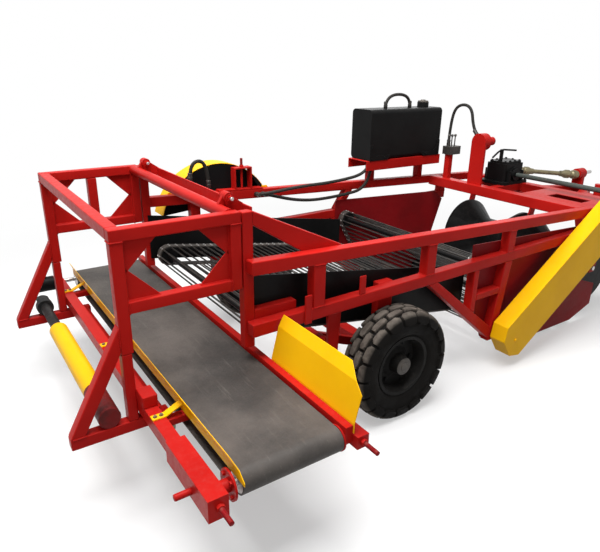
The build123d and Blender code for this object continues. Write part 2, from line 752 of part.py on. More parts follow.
def web_rollers():
    """Cross shafts with a belt wheel under each edge belt."""
    rollers = []
    webs = ((DIG_WEB_SHAFTS, DIG_WEB_HALF, SHARE_IN), (REAR_WEB_SHAFTS, REAR_WEB_HALF, CHEEK_IN))
    for shafts, half, seat in webs:
        edge = half + WEB_ROLLER_LAP
        for x, z in shafts:
            near = CASE_IN_Y + FIT_GAP if (x, z) == CASE_LOW else -seat + FIT_GAP
            roller = cross_rod(x, z, near, seat - FIT_GAP, WEB_SHAFT)
            for y in (-edge, edge - WEB_ROLLER_WIDE):
                roller += cross_rod(x, z, y, y + WEB_ROLLER_WIDE, WEB_ROLLER)
            rollers.append(roller)
    node("web_rollers", *rollers)


def side_plates_and_share():
    plate = side_slab(SHARE_PLATE, SHARE_IN, FRAME_HALF)
    near = flipped(plate) - cross_rod(*CASE_LOW, -2 * FRAME_HALF, 0, WEB_SHAFT + FIT_GAP)
    node("share_plates", near, plate)
    cheek = band(CHEEK_REAR_X, CHEEK_FRONT_X, lambda x: rear_web_line(x) - CHEEK_BELOW,
                 lambda x: rear_web_line(x) + CHEEK_ABOVE)
    node("web_cheeks", *pair(side_slab(cheek, CHEEK_IN, POST_IN)))
    slope = Vector(SHARE_TIP[0] - SHARE_REAR[0], 0, SHARE_TIP[1] - SHARE_REAR[1])
    lie = Plane(origin=(SHARE_REAR[0], 0, SHARE_REAR[1]), x_dir=slope, z_dir=(-slope.Z, 0, slope.X))
    step = 2 * SHARE_IN / SHARE_POINTS
    root = slope.length - SHARE_POINT_LONG
    edge = [(0, -SHARE_IN)]
    for i in range(SHARE_POINTS):
        left = -SHARE_IN + i * step
        edge += [(root, left), (slope.length, left + step / 2)]
    edge += [(root, SHARE_IN), (0, SHARE_IN)]
    node("digging_share", lie * extrude(make_face(Polyline(*edge, close=True)), SHARE_THICK))


def ridge_rollers():
    bore = RIDGE_SHAFT + FIT_GAP
    half_spool = [(RIDGE_WAIST_HALF, RIDGE_WAIST), (RIDGE_HALF - RIDGE_RIM, RIDGE_END),
                  (RIDGE_HALF, RIDGE_END), (RIDGE_HALF, bore)]
    spool = half_spool + [(-y, r) for y, r in half_spool[::-1]]
    for name, side in (("right", -1), ("left", 1)):
        node(f"ridge_roller_{name}", spin(spool, RIDGE_X, RIDGE_Z, side * RIDGE_Y))
    reach = SHARE_IN - RIDGE_ROOM
    half = RIDGE_ARM_WIDE / 2
    head = FRONT_BEAMS_X[1] + BEAM_LONG
    outline = [(RIDGE_X - half, RIDGE_Z - half), (RIDGE_X + half, RIDGE_Z - half), (head, beam_low(head)),
               (head - RIDGE_ARM_WIDE, beam_low(head - RIDGE_ARM_WIDE))]
    arms = []
    for y in (-reach - RIDGE_ARM_THICK, -RIDGE_ARM_THICK / 2, reach):
        hole = cross_rod(RIDGE_X, RIDGE_Z, y - RIDGE_ARM_THICK, y + 2 * RIDGE_ARM_THICK, bore)
        arms.append(side_slab(outline, y, y + RIDGE_ARM_THICK) - hole)
    node("ridge_arms", *arms)
    tip = reach + 2 * RIDGE_ARM_THICK
    node("ridge_axle", cross_rod(RIDGE_X, RIDGE_Z, -tip, tip, RIDGE_SHAFT))


def gantry():
    low = GANTRY_TOP - POST
    posts = []
    for x, foot in ((0, GANTRY_POST_LOW), (GANTRY_LONG - POST, GANTRY_BAR_TOP - POST)):
        posts += pair(box((x, x + POST), (POST_IN, FRAME_HALF), (foot, low)))
    posts.append(box((GANTRY_MID_X, GANTRY_MID_X + POST), (POST_IN, FRAME_HALF), (GANTRY_BAR_TOP, low)))
    node("gantry_posts", *posts)
    top = box((0, GANTRY_LONG), (POST_IN, FRAME_HALF), (low, GANTRY_TOP))
    bar = box((POST, GANTRY_LONG - POST), (POST_IN, FRAME_HALF), (GANTRY_BAR_TOP - POST, GANTRY_BAR_TOP))
    node("gantry_rails", *pair(top), *pair(bar))
    tie_x = FOOT_FRONT_X - POST - FOOT_TIE_SET
    rear_beam = box((0, POST), (-POST_IN, POST_IN), (low, GANTRY_TOP))
    foot_tie = box((tie_x, tie_x + POST), (-POST_IN, POST_IN), (FOOT_TOP - POST, FOOT_TOP))
    node("gantry_cross_beams", rear_beam, foot_tie)
    tube = cross_rod(PIVOT_TUBE_X, PIVOT_TUBE_Z, -POST_IN, POST_IN, PIVOT_TUBE)
    eye = PIVOT_EYE * sin(pi / 4)
    outline = [(PIVOT_TUBE_X - PIVOT_EYE, PIVOT_TUBE_Z), (PIVOT_X - eye, PIVOT_Z + eye),
               (PIVOT_X + eye, PIVOT_Z - eye), (PIVOT_TUBE_X, PIVOT_TUBE_Z)]
    for y in (-PIVOT_Y, PIVOT_Y):
        span = y - EYE_LUG / 2, y + EYE_LUG / 2
        lug = side_slab(outline, *span) + cross_rod(PIVOT_X, PIVOT_Z, *span, PIVOT_EYE)
        tube += lug - cross_rod(PIVOT_X, PIVOT_Z, *span, PIVOT_PIN + FIT_GAP)
    node("gantry_pivot_tube", tube)
    gussets = []
    y = FRAME_HALF - POST / 2
    for x, along in ((POST, 1), (GANTRY_LONG - POST, -1)):
        for z, up in ((GANTRY_BAR_TOP, 1), (low, -1)):
            corner = [(x, z), (x + along * GUSSET_LEG, z), (x, z + up * GUSSET_LEG)]
            gussets += pair(side_slab(corner, y - GUSSET_THICK / 2, y + GUSSET_THICK / 2))
    node("gantry_gussets", *gussets)
    lean = (LEG_HEAD_Z - FOOT_TOP) / -FOOT_X
    upright_deep = LEG_DEEP * hypot(1, lean)
    leg = [(0, LEG_HEAD_Z), (0, LEG_HEAD_Z - upright_deep), (FOOT_X + upright_deep / lean, FOOT_TOP),
           (FOOT_X, FOOT_TOP)]
    hanger = box((0, HANGER), (POST_IN, FRAME_HALF), (FOOT_TOP, GANTRY_POST_LOW))
    node("gantry_legs", *pair(side_slab(leg, POST_IN, FRAME_HALF)), *pair(hanger))
    foot = box((FOOT_X, FOOT_FRONT_X), (POST_IN, FRAME_HALF), (FOOT_TOP - POST, FOOT_TOP))
    node("gantry_feet", *pair(foot))


def belt_and_rollers():
    ends = (BELT_NEAR_Y, BELT_FAR_Y)

    def loop(radius):
        outline = SlotCenterToCenter(ends[1] - ends[0], 2 * radius)
        middle = (BELT_REAR_X, (ends[0] + ends[1]) / 2, BELT_AXIS_Z)
        return Plane(origin=middle, x_dir=(0, 1, 0), z_dir=(1, 0, 0)) * extrude(outline, BELT_WIDE)

    inner = BELT_ROLLER + FIT_GAP
    node("conveyor_belt", loop(inner + BELT_THICK) - loop(inner))
    rollers = []
    for y, rear in zip(ends, (DISC_X + FIT_GAP - END_BOSS, BEAM_FACE_X + FIT_GAP)):
        roller = long_rod(y, BELT_AXIS_Z, BELT_REAR_X, BELT_FRONT_X, BELT_ROLLER)
        rollers.append(roller + long_rod(y, BELT_AXIS_Z, rear, SIDE_RAIL_X - FIT_GAP, BELT_SHAFT))
    idler_z = BELT_AXIS_Z - inner - BELT_THICK - IDLER_GAP - IDLER
    idler = long_rod(IDLER_Y, idler_z, BELT_REAR_X, BELT_FRONT_X, IDLER)
    idler += long_rod(IDLER_Y, idler_z, BEAM_FACE_X + IDLER_EAR + FIT_GAP, SIDE_RAIL_X - FIT_GAP, IDLER / 2)
    node("belt_rollers", *rollers, idler)


def conveyor_frame():
    ends = (BELT_NEAR_Y, BELT_FAR_Y)
    low, top = BELT_AXIS_Z - REAR_BEAM / 2, BELT_AXIS_Z + REAR_BEAM / 2
    far_end = BELT_FAR_Y + BELT_ROLLER
    beam = box((HANGER, BEAM_FACE_X), (REAR_BEAM_NEAR_Y, far_end), (low, top))
    rail_low = BELT_TOP - SIDE_RAIL_TALL
    rail = box((SIDE_RAIL_X, SIDE_RAIL_FACE), (BELT_NEAR_Y - BELT_ROLLER, far_end),
               (rail_low, BELT_TOP + SIDE_RAIL_RISE))
    for y in ends:
        rail += long_rod(y, BELT_AXIS_Z, SIDE_RAIL_X - END_PLATE, SIDE_RAIL_X, BELT_ROLLER)
        rail -= long_rod(y, BELT_AXIS_Z, BELT_FRONT_X, SIDE_RAIL_X, BELT_SHAFT + FIT_GAP)
    node("conveyor_rails", beam, rail)
    bars = []
    for y in CROSSBARS_Y:
        bars.append(box((BEAM_FACE_X, SIDE_RAIL_X), (y - HANGER / 2, y + HANGER / 2),
                        (BELT_AXIS_Z - CROSSBAR_TALL / 2, BELT_AXIS_Z + CROSSBAR_TALL / 2)))
    ear_y = (IDLER_Y - HANGER / 2, IDLER_Y + HANGER / 2)
    ear_low = BELT_AXIS_Z - BELT_ROLLER - BELT_THICK - 3 * IDLER
    ears = [box((BEAM_FACE_X, BEAM_FACE_X + IDLER_EAR), ear_y, (ear_low, top)),
            box((SIDE_RAIL_X, SIDE_RAIL_X + IDLER_EAR), ear_y, (ear_low, rail_low))]
    node("conveyor_ties", *bars, *ears)


def belt_tensioners():
    """Sliding channel at the discharge end, with the tension screw and the disc that carries the roller."""
    top = BELT_AXIS_Z + REAR_BEAM / 2
    rear = HANGER - TENSION_PLATE
    front = rear + TENSION_WIDE
    inner_y = REAR_BEAM_NEAR_Y + TENSION_LAP
    channel = box((rear, front), (TENSION_END_Y, inner_y), (top, top + TENSION_PLATE))
    channel += box((rear, HANGER), (TENSION_END_Y, inner_y), (TENSION_LOW, top))
    channel += box((rear, front), (TENSION_END_Y, TENSION_END_Y + TENSION_PLATE), (TENSION_LOW, top))
    middle = (HANGER + front) / 2
    channel += cross_rod(middle, BELT_AXIS_Z, TENSION_ROD_FROM_Y, TENSION_TIP_Y, TENSION_ROD)
    channel += long_rod(BELT_NEAR_Y, BELT_AXIS_Z, rear, DISC_X, END_BOSS)
    channel += long_rod(BELT_NEAR_Y, BELT_AXIS_Z, DISC_X, DISC_X + END_PLATE, END_DISC)
    channel -= long_rod(BELT_NEAR_Y, BELT_AXIS_Z, DISC_X - END_BOSS, DISC_X + END_PLATE, BELT_SHAFT + FIT_GAP)
    deep = SIDE_RAIL_FACE + FRONT_TENSION_DEEP
    tube = box((SIDE_RAIL_FACE, deep), (TENSION_END_Y, FRONT_TENSION_FROM_Y),
               (DEFLECTOR_LOW - FRONT_TENSION_DEEP - GUARD_THICK, DEFLECTOR_LOW - GUARD_THICK))
    middle = (SIDE_RAIL_FACE + deep) / 2
    screw_z = DEFLECTOR_LOW - GUARD_THICK - FRONT_TENSION_DEEP / 2
    tube += cross_rod(middle, screw_z, TENSION_END_Y, TENSION_TIP_Y, TENSION_ROD)
    node("belt_tensioners", channel, tube)
    motor = long_rod(BELT_FAR_Y, BELT_AXIS_Z, HANGER, HANGER - MOTOR_LONG, MOTOR_RADIUS)
    port_x = HANGER - MOTOR_LONG / 2
    motor += rod((port_x, BELT_FAR_Y, BELT_AXIS_Z),
                 (port_x, BELT_FAR_Y, BELT_AXIS_Z + MOTOR_RADIUS + MOTOR_PORT_TALL), MOTOR_PORT)
    node("belt_motor", motor)


def guards():
    """Bent strip along the rear edge of the belt and the folded deflector at the discharge end."""
    beam_top = BELT_AXIS_Z + REAR_BEAM / 2
    face = BELT_REAR_X - GUARD_ROOM
    back = face - STRIP_LEAN
    bend = BELT_TOP + STRIP_BEND
    top = BELT_TOP + STRIP_ABOVE
    low = BELT_TOP - STRIP_BELOW
    strip = [(face, low), (face + GUARD_THICK, low), (face + GUARD_THICK, bend), (back + GUARD_THICK, top),
             (back, top), (face, bend - GUARD_THICK / 2)]
    guard = side_slab(strip, TENSION_END_Y, BELT_FAR_Y)
    tip_z = BELT_TOP - STRIP_POINT_DROP
    point_y = TENSION_END_Y + STRIP_POINT
    guard -= end_slab([(TENSION_END_Y, tip_z), (TENSION_END_Y, 2 * top), (point_y, 2 * top), (point_y, top)],
                      0, BELT_FRONT_X)
    for y in CROSSBARS_Y:
        bracket = [(HANGER, beam_top), (BEAM_FACE_X, beam_top), (face, bend - 2 * BRACKET_THICK),
                   (face, bend - BRACKET_THICK), (BEAM_FACE_X, beam_top + BRACKET_THICK),
                   (HANGER, beam_top + BRACKET_THICK)]
        guard += side_slab(bracket, y - BRACKET_WIDE / 2, y + BRACKET_WIDE / 2)
    bends = [(SIDE_RAIL_FACE, DEFLECTOR_LOW)]
    bends += [(SIDE_RAIL_FACE + forward, DEFLECTOR_LOW + up) for forward, up in DEFLECTOR_BENDS]
    outline = bends + [(x + GUARD_THICK, z) for x, z in bends[::-1]]
    sheet = side_slab(outline, DEFLECTOR_NEAR_Y, -FRAME_HALF - DEFLECTOR_ROOM)
    sheet_top = bends[-1][1]
    cut_y, cut_z = DEFLECTOR_NEAR_Y + DEFLECTOR_CUT[0], sheet_top - DEFLECTOR_CUT[1]
    sheet -= end_slab([(DEFLECTOR_NEAR_Y, cut_z), (DEFLECTOR_NEAR_Y, sheet_top), (cut_y, sheet_top)],
                      0, 2 * SIDE_RAIL_FACE)
    node("conveyor_guards", guard, sheet)


def stowed_shaft():
    """Guarded drive shaft laid on the gantry's feet."""
    z = FOOT_TOP + STOWED_TUBE + FIT_GAP
    node("stowed_shaft", cross_rod(STOWED_X, z, STOWED_NEAR_Y, STOWED_FAR_Y, STOWED_TUBE))
    near = cross_rod(STOWED_X, z, -FRAME_HALF, STOWED_NEAR_Y, STOWED_TUBE)
    yoke = cross_rod(STOWED_X, z, POST_IN, FRAME_HALF + STOWED_YOKE, STOWED_TUBE)
    slot = STOWED_TUBE - YOKE_EAR
    yoke -= box((STOWED_X - STOWED_TUBE, STOWED_X + STOWED_TUBE), (FRAME_HALF, FRAME_HALF + STOWED_YOKE),
                (z - slot, z + slot))
    far = cross_rod(STOWED_X, z, STOWED_FAR_Y, POST_IN, STOWED_INNER) + yoke
    node("stowed_yokes", near, far)


def gearbox():
    low = upper_top(FRONT_BEAMS_X[1])
    half_long, half_wide = GEARBOX_LONG / 2, GEARBOX_WIDE / 2
    body_long, body_wide = GEARBOX_BODY_LONG / 2, GEARBOX_BODY_WIDE / 2
    top = low + GEARBOX_TALL

    def block(long, wide, z_from, z_to):
        solid = box((SHAFT_X - long, SHAFT_X + long), (GEARBOX_Y - wide, GEARBOX_Y + wide), (z_from, z_to))
        return fillet(solid.edges().filter_by(Axis.Z), GEARBOX_ROUND)

    case = block(half_long, half_wide, low, low + GEARBOX_FLANGE) + block(body_long, body_wide, low, top)
    case += block(body_long - COVER_INSET, body_wide - COVER_INSET, top, top + COVER_THICK)
    for x in (SHAFT_X - RIB_X, SHAFT_X + RIB_X):
        case += box((x - RIB_THICK / 2, x + RIB_THICK / 2), (GEARBOX_Y - half_wide, GEARBOX_Y + half_wide),
                    (low, low + RIB_TALL))
    boss_y, boss_x = GEARBOX_Y - half_wide, SHAFT_X + half_long
    case += cross_rod(SHAFT_X, SHAFT_Z, boss_y, GEARBOX_Y, BOSS_RADIUS)
    case += cross_rod(SHAFT_X, SHAFT_Z, GEARBOX_Y - body_wide - BOSS_COLLAR_LONG, GEARBOX_Y, BOSS_COLLAR)
    case += long_rod(GEARBOX_Y, SHAFT_Z, SHAFT_X, boss_x, BOSS_RADIUS)
    case += long_rod(GEARBOX_Y, SHAFT_Z, SHAFT_X, SHAFT_X + body_long + BOSS_COLLAR_LONG, BOSS_COLLAR)
    case += bent_rod([(x, GEARBOX_Y, z) for x, z in LEVER_ROUTE], LEVER_RADIUS)
    lever_z = LEVER_ROUTE[1][1]
    case += rod((LEVER_POST_X, GEARBOX_Y, top), (LEVER_POST_X, GEARBOX_Y, lever_z), 2 * LEVER_RADIUS)
    node("gearbox", case)


def chain_drive():
    boss_y = GEARBOX_Y - GEARBOX_WIDE / 2
    node("cross_shaft", cross_rod(SHAFT_X, SHAFT_Z, CASE_IN_Y + FIT_GAP, boss_y - FIT_GAP, SHAFT_RADIUS))
    run = Vector(SHAFT_X - CASE_LOW[0], 0, SHAFT_Z - CASE_LOW[1])
    lie = Plane(origin=(CASE_LOW[0], CASE_IN_Y, CASE_LOW[1]), x_dir=run, z_dir=(0, -1, 0))
    outline = Pos(run.length / 2, 0) * Rectangle(run.length + 2 * CASE_HALF, 2 * CASE_HALF)
    case = extrude(lie * chamfer(outline.vertices(), CASE_CUT), CASE_THICK)
    boss = cross_rod(*CASE_LOW, CASE_IN_Y, -FRAME_HALF, CASE_BOSS)
    case += boss - cross_rod(*CASE_LOW, CASE_IN_Y, -FRAME_HALF, WEB_SHAFT + FIT_GAP)
    tab_x = SHAFT_X - CASE_HALF
    case += box((tab_x, tab_x + RAIL_WIDE), (CASE_IN_Y, -RAIL_OUT),
                (upper_low(tab_x), upper_top(tab_x) - CASE_TAB_LOW))
    node("chain_case", case)


def input_line():
    """Jointed shaft from the gearbox forward to the stub that the tractor drives."""
    boss_x = SHAFT_X + GEARBOX_LONG / 2
    drum_from, drum_to = STAND_X - STAND_LONG / 2, STAND_X + STAND_LONG / 2
    joint_rear = (boss_x + JOINT_LONG / 2, GEARBOX_Y, SHAFT_Z)
    joint_front = (drum_from - JOINT_LONG / 2, 0, STAND_Z)
    line = long_rod(GEARBOX_Y, SHAFT_Z, boss_x + FIT_GAP, joint_rear[0], JOINT_YOKE)
    line += rod(joint_rear, joint_front, SHAFT_RADIUS)
    for x, y, z in (joint_rear, joint_front):
        line += rod((x, y, z - JOINT_RADIUS), (x, y, z + JOINT_RADIUS), JOINT_CROSS)
        line += cross_rod(x, z, y - JOINT_RADIUS, y + JOINT_RADIUS, JOINT_CROSS)
    line += long_rod(0, STAND_Z, joint_front[0], drum_from - FIT_GAP, JOINT_YOKE)
    node("joint_shaft", line)
    rear, front = SHAFT_X - BEARING_HALF, SHAFT_X + BEARING_HALF
    top = SHAFT_Z + BEARING_HALF
    seat = [(rear, upper_top(rear)), (front, upper_top(front)), (SHAFT_X + BEARING_TOP_HALF, top),
            (SHAFT_X - BEARING_TOP_HALF, top)]
    bearing = side_slab(seat, -RAIL_OUT, -FRAME_HALF)
    bearing -= cross_rod(SHAFT_X, SHAFT_Z, -RAIL_OUT, -FRAME_HALF, SHAFT_RADIUS + FIT_GAP)
    top = drawbar_low() + DRAWBAR_TALL
    foot = DRAWBAR_FRONT_Y + STAND_LAP
    stand = long_rod(0, STAND_Z, drum_from, drum_to, STAND_RADIUS)
    stand += box((STAND_X - STAND_WEB, STAND_X + STAND_WEB), (-STAND_RADIUS, STAND_RADIUS), (top, STAND_Z))
    stand += box((drum_from, STAND_X + STAND_WEB), (-foot, foot), (top, top + HEAD_THICK))
    stand -= long_rod(0, STAND_Z, drum_from, drum_to, STUB_NECK + FIT_GAP)
    node("shaft_bearings", bearing, stand)
    stub_from = STUB_TIP_X - STUB_LONG
    stub = long_rod(0, STAND_Z, drum_from, stub_from, STUB_NECK)
    node("input_shaft", stub + long_rod(0, STAND_Z, stub_from, STUB_TIP_X, STUB_PTO))


def oil_tank():
    tank = box((TANK_X, TANK_FRONT_X), (TANK_Y, TANK_Y + TANK_DEEP), (TANK_LOW, TANK_TOP))
    tank = fillet(tank.edges().filter_by(Axis.X), TANK_ROUND)
    cap_x = TANK_FRONT_X - CAP_BACK
    tank += rod((cap_x, HOSE_Y, TANK_LOW), (cap_x, HOSE_Y, TANK_TOP + CAP_TALL), CAP_RADIUS)
    for x, way in ((TANK_X, 1), (TANK_FRONT_X, -1)):
        corner = [(0, 0), (CORNER_LONG - CORNER_CUT, 0), (CORNER_LONG, CORNER_CUT), (CORNER_LONG, CORNER_ARM),
                  (CORNER_ARM + CORNER_CUT, CORNER_ARM), (CORNER_ARM, CORNER_ARM + CORNER_CUT),
                  (CORNER_ARM, CORNER_TALL), (0, CORNER_TALL)]
        outline = [(x + way * dx, TANK_LOW + dz) for dx, dz in corner]
        tank += side_slab(outline, TANK_Y - CORNER_THICK, TANK_Y + TANK_ROUND)
    node("oil_tank", tank)
    rear, front = TANK_X - CRADLE_LAP, TANK_FRONT_X + CRADLE_LAP
    floor = TANK_LOW - PLATE
    cradle = box((rear, front), (TANK_Y, TANK_Y + TANK_DEEP), (floor, TANK_LOW))
    for y in (TANK_Y, TANK_Y + TANK_DEEP - PLATE):
        cradle += box((rear, front), (y, y + PLATE), (TANK_LOW - CRADLE_LIP, TANK_LOW))
    for x in (TANK_X + CRADLE_LEG_REAR, TANK_FRONT_X - CRADLE_LEG_FRONT):
        cradle += side_slab(band(x, x + POST, upper_top, floor), FRAME_HALF, RAIL_OUT)
    node("tank_cradle", cradle)


def pump_and_valve():
    half = STAND_PLATE / 2
    plate = band(PUMP_STAND_X - half, PUMP_STAND_X + half, upper_top, PUMP_Z)
    stand = side_slab(plate, GEARBOX_Y - DRUM_RADIUS, GEARBOX_Y + DRUM_RADIUS)
    drum_front = PUMP_STAND_X - half + DRUM_LONG
    stand += long_rod(GEARBOX_Y, PUMP_Z, PUMP_STAND_X - half, drum_front, DRUM_RADIUS)
    node("oil_pump", long_rod(GEARBOX_Y, PUMP_Z, drum_front, drum_front + PUMP_LONG, PUMP_RADIUS))
    post = band(PUMP_STAND_X, PUMP_STAND_X + VALVE_POST, upper_top, TANK_LOW)
    post = side_slab(post, VALVE_Y, VALVE_Y + POST)
    node("hydraulic_stands", stand, post)
    rear = PUMP_STAND_X - VALVE_LAP
    top = TANK_LOW + VALVE_TALL
    block = box((rear, rear + VALVE_LONG), (VALVE_Y - VALVE_LAP, VALVE_Y + POST + VALVE_LAP), (TANK_LOW, top))
    lever_y = VALVE_Y + POST / 2
    for x in LEVERS_X:
        block += rod((x, lever_y, TANK_LOW), (x, lever_y, top + LEVER_TALL), LEVER_ROD)
        block += Pos(x, lever_y, top + LEVER_TALL) * Sphere(KNOB)
    node("valve_block", block)


def hoses():
    """Hydraulic hoses, each held at both ends."""
    front = TANK_FRONT_X - TANK_ARCH_BACK
    rear = front - TANK_ARCH_LONG
    peak = TANK_TOP + TANK_ARCH_TALL
    waist = TANK_TOP + TANK_ARCH_TALL / 2
    inset = TANK_ARCH_LONG / 4
    routes = [[(x, HOSE_Y, z) for x, z in (
        (rear, TANK_TOP), (rear, waist), (rear + inset, peak), (front - inset, peak), (front, waist),
        (front, TANK_TOP))]]
    rear, front = BRACE_ARCH_X
    middle_y = (POST_IN + FRAME_HALF) / 2
    routes.append([(x, middle_y, z) for x, z in (
        (rear, brace_top(rear - HOSE)), (rear, BRACE_ARCH_TOP), (front, BRACE_ARCH_TOP),
        (front, brace_top(front - HOSE)))])
    for x, inside, low, ahead in RAIL_HOSES:
        y = FRAME_HALF - inside
        end = TANK_X + ahead
        third = (end - x) / 3
        start_z = upper_top(x) - RAIL_TALL / 2
        routes.append([(x, FRAME_HALF, start_z), (x, y, start_z), (x + third, y, low), (end - third, y, low),
                       (end, y, low + CRADLE_LIP / 2), (end, y, TANK_LOW - PLATE)])
    start_y = VALVE_Y + POST + VALVE_LAP - 2 * HOSE
    seat = DRUM_RADIUS * sin(pi / 4)
    valve_top = TANK_LOW + VALVE_TALL
    routes.append([(DRUM_HOSE_X, y, z) for y, z in (
        (start_y, valve_top), (start_y, PUMP_Z + 2 * DRUM_RADIUS), (start_y - POST, PUMP_Z + 4 * DRUM_RADIUS),
        (GEARBOX_Y + 2 * DRUM_RADIUS, PUMP_Z + 4 * DRUM_RADIUS), (GEARBOX_Y + 2 * seat, PUMP_Z + 2 * seat),
        (GEARBOX_Y + seat, PUMP_Z + seat))])
    node("hoses", *[bent_rod(route, HOSE) for route in routes])


def hood_and_adjuster():
    """Arched drive cover outside the left rail and the web adjuster on top of it."""
    def rim(turn, radius):
        return HOOD_X + radius * cos(turn), HOOD_Z + radius * sin(turn)

    def arched(inset, y_from, y_to):
        radius = HOOD_RADIUS - inset
        start, middle, end = [(x, y_from, z) for x, z in
                              (rim(t, radius) for t in (HOOD_FROM, (HOOD_FROM + HOOD_TO) / 2, HOOD_TO))]
        face = make_face([ThreePointArc(start, middle, end), Line(end, start)])
        return extrude(face, y_to - y_from, dir=(0, 1, 0))

    inner, outer = RAIL_OUT + HOOD_ROOM, RAIL_OUT + HOOD_WIDE
    tab_face = inner + GUARD_THICK
    hood = arched(0, inner, outer) - arched(GUARD_THICK, inner, outer - GUARD_THICK)
    for turn in HOOD_TABS:
        x, z = rim(turn, HOOD_RADIUS)
        tab = box((x - HOOD_TAB_HALF, x + HOOD_TAB_HALF), (RAIL_OUT, tab_face),
                  (z - HOOD_TAB_HALF, z + HOOD_TAB_HALF))
        hood += tab & arched(-HOOD_TAB_HALF, RAIL_OUT, outer)
    node("drive_hood", hood)
    node("hood_cheek", arched(GUARD_THICK, tab_face, tab_face + GUARD_THICK))
    rail_y = (FRAME_HALF, RAIL_OUT)
    base = side_slab(band(*ADJUSTER_BASE_X, upper_top, lambda x: upper_top(x) + ADJUSTER_PLATE), *rail_y)
    rear, front = ADJUSTER_X
    for x in (rear, front - ADJUSTER_PLATE):
        base += side_slab(band(x, x + ADJUSTER_PLATE, upper_top, ADJUSTER_TOP), *rail_y)
    base += box((rear, front), rail_y, (ADJUSTER_TOP, ADJUSTER_TOP + ADJUSTER_PLATE))
    middle = ((rear + front) / 2, (FRAME_HALF + RAIL_OUT) / 2)
    base += rod((*middle, upper_top(middle[0]) + ADJUSTER_PLATE / 2), (*middle, ADJUSTER_TIP), TENSION_ROD)
    node("web_adjuster", base)


def drawbar_low():
    return beam_low(UPPER_RAIL_FRONT_X) - DRAWBAR_TALL


def drawbar_and_jack():
    rear_x = FRONT_BEAMS_X[1]
    low = drawbar_low()
    top = low + DRAWBAR_TALL
    half = DRAWBAR_WIDE / 2
    outline = [(rear_x, DRAWBAR_REAR_Y - half), (rear_x, DRAWBAR_REAR_Y + half),
               (DRAWBAR_FRONT_X, DRAWBAR_FRONT_Y + half), (DRAWBAR_FRONT_X, DRAWBAR_FRONT_Y - half)]
    left, right = pair(plan_slab(outline, low, top))
    node("drawbar_beams", left, right)
    width = DRAWBAR_FRONT_Y + half
    eye_low, eye_top = HITCH_Z - EYE_TALL / 2, HITCH_Z + EYE_TALL / 2
    head = box((DRAWBAR_FRONT_X, DRAWBAR_FRONT_X + HEAD_THICK), (-width, width), (low, top))
    neck = [(DRAWBAR_FRONT_X, top), (DRAWBAR_FRONT_X + DRAWBAR_TALL, top),
            (HITCH_X - EYE_BORE, eye_top + EYE_OUTER), (HITCH_X - EYE_BORE, eye_low),
            (HITCH_X - 2 * EYE_OUTER, eye_low), (DRAWBAR_FRONT_X, low)]
    head += side_slab(neck, -EYE_TALL, EYE_TALL)
    head -= rod((HITCH_X, 0, eye_top), (HITCH_X, 0, eye_top + 2 * EYE_OUTER), EYE_OUTER + EYE_ROOM)
    head += rod((HITCH_X, 0, eye_low), (HITCH_X, 0, eye_top), EYE_OUTER)
    head -= rod((HITCH_X, 0, eye_low), (HITCH_X, 0, eye_top), EYE_BORE)
    node("hitch_head", head)
    sleeve = rod((JACK_X, JACK_Y, JACK_LOW), (JACK_X, JACK_Y, JACK_TOP), JACK_TUBE)
    sleeve += box((JACK_X - JACK_TUBE, JACK_X + JACK_TUBE), (JACK_Y, -DRAWBAR_FRONT_Y), (low, top))
    sleeve -= right
    sleeve = sleeve.solids().sort_by(Axis.Y)[0]
    sleeve -= rod((JACK_X, JACK_Y, JACK_LOW), (JACK_X, JACK_Y, JACK_TOP - HEAD_THICK), JACK_LEG + FIT_GAP)
    node("jack_sleeve", sleeve)
    leg = rod((JACK_X, JACK_Y, 0), (JACK_X, JACK_Y, JACK_FOOT_TALL), JACK_FOOT)
    leg += rod((JACK_X, JACK_Y, 0), (JACK_X, JACK_Y, JACK_LEG_TOP), JACK_LEG)
    node("jack_leg", leg)


rails_and_posts()
uprights_and_tabs()
braces()
front_beams_and_deck()
rear_beam_and_pins()
axle()
wheels()
web("digging_web", DIG_WEB_SHAFTS, DIG_WEB_HALF)
web("rear_web", REAR_WEB_SHAFTS, REAR_WEB_HALF)
web_rollers()
side_plates_and_share()
ridge_rollers()
gantry()
belt_and_rollers()
conveyor_frame()
belt_tensioners()
guards()
stowed_shaft()
gearbox()
chain_drive()
input_line()
oil_tank()
pump_and_valve()
hoses()
hood_and_adjuster()
drawbar_and_jack()
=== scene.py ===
import json

import bmesh
import bpy
import numpy as np
from mathutils import Matrix


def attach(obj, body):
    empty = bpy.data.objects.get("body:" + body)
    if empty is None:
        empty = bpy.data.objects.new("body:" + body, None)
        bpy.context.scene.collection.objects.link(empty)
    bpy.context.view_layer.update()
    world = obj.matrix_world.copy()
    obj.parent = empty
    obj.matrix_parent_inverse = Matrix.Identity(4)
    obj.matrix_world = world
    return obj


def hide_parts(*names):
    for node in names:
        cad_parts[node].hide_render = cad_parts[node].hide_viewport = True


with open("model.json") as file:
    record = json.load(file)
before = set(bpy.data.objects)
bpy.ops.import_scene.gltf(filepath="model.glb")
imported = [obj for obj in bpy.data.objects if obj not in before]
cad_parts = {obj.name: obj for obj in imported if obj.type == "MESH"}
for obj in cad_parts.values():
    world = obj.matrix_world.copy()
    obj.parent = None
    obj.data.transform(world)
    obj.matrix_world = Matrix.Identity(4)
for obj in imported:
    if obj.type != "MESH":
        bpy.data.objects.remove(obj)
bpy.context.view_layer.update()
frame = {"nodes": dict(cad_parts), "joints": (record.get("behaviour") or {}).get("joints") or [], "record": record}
nodes = frame["nodes"]
joints = {j["name"]: j for j in frame["joints"]}
pi = np.pi

# Places below are metres from the gantry's rear face, the centre plane and the ground.
# home shifts them to the frame.
axleAt = np.array([1.670, -0.930, 0.375])
home = np.array(joints["wheel_right_spin"]["pos_m"]) - axleAt
print("frame loaded:", len(nodes), "nodes")


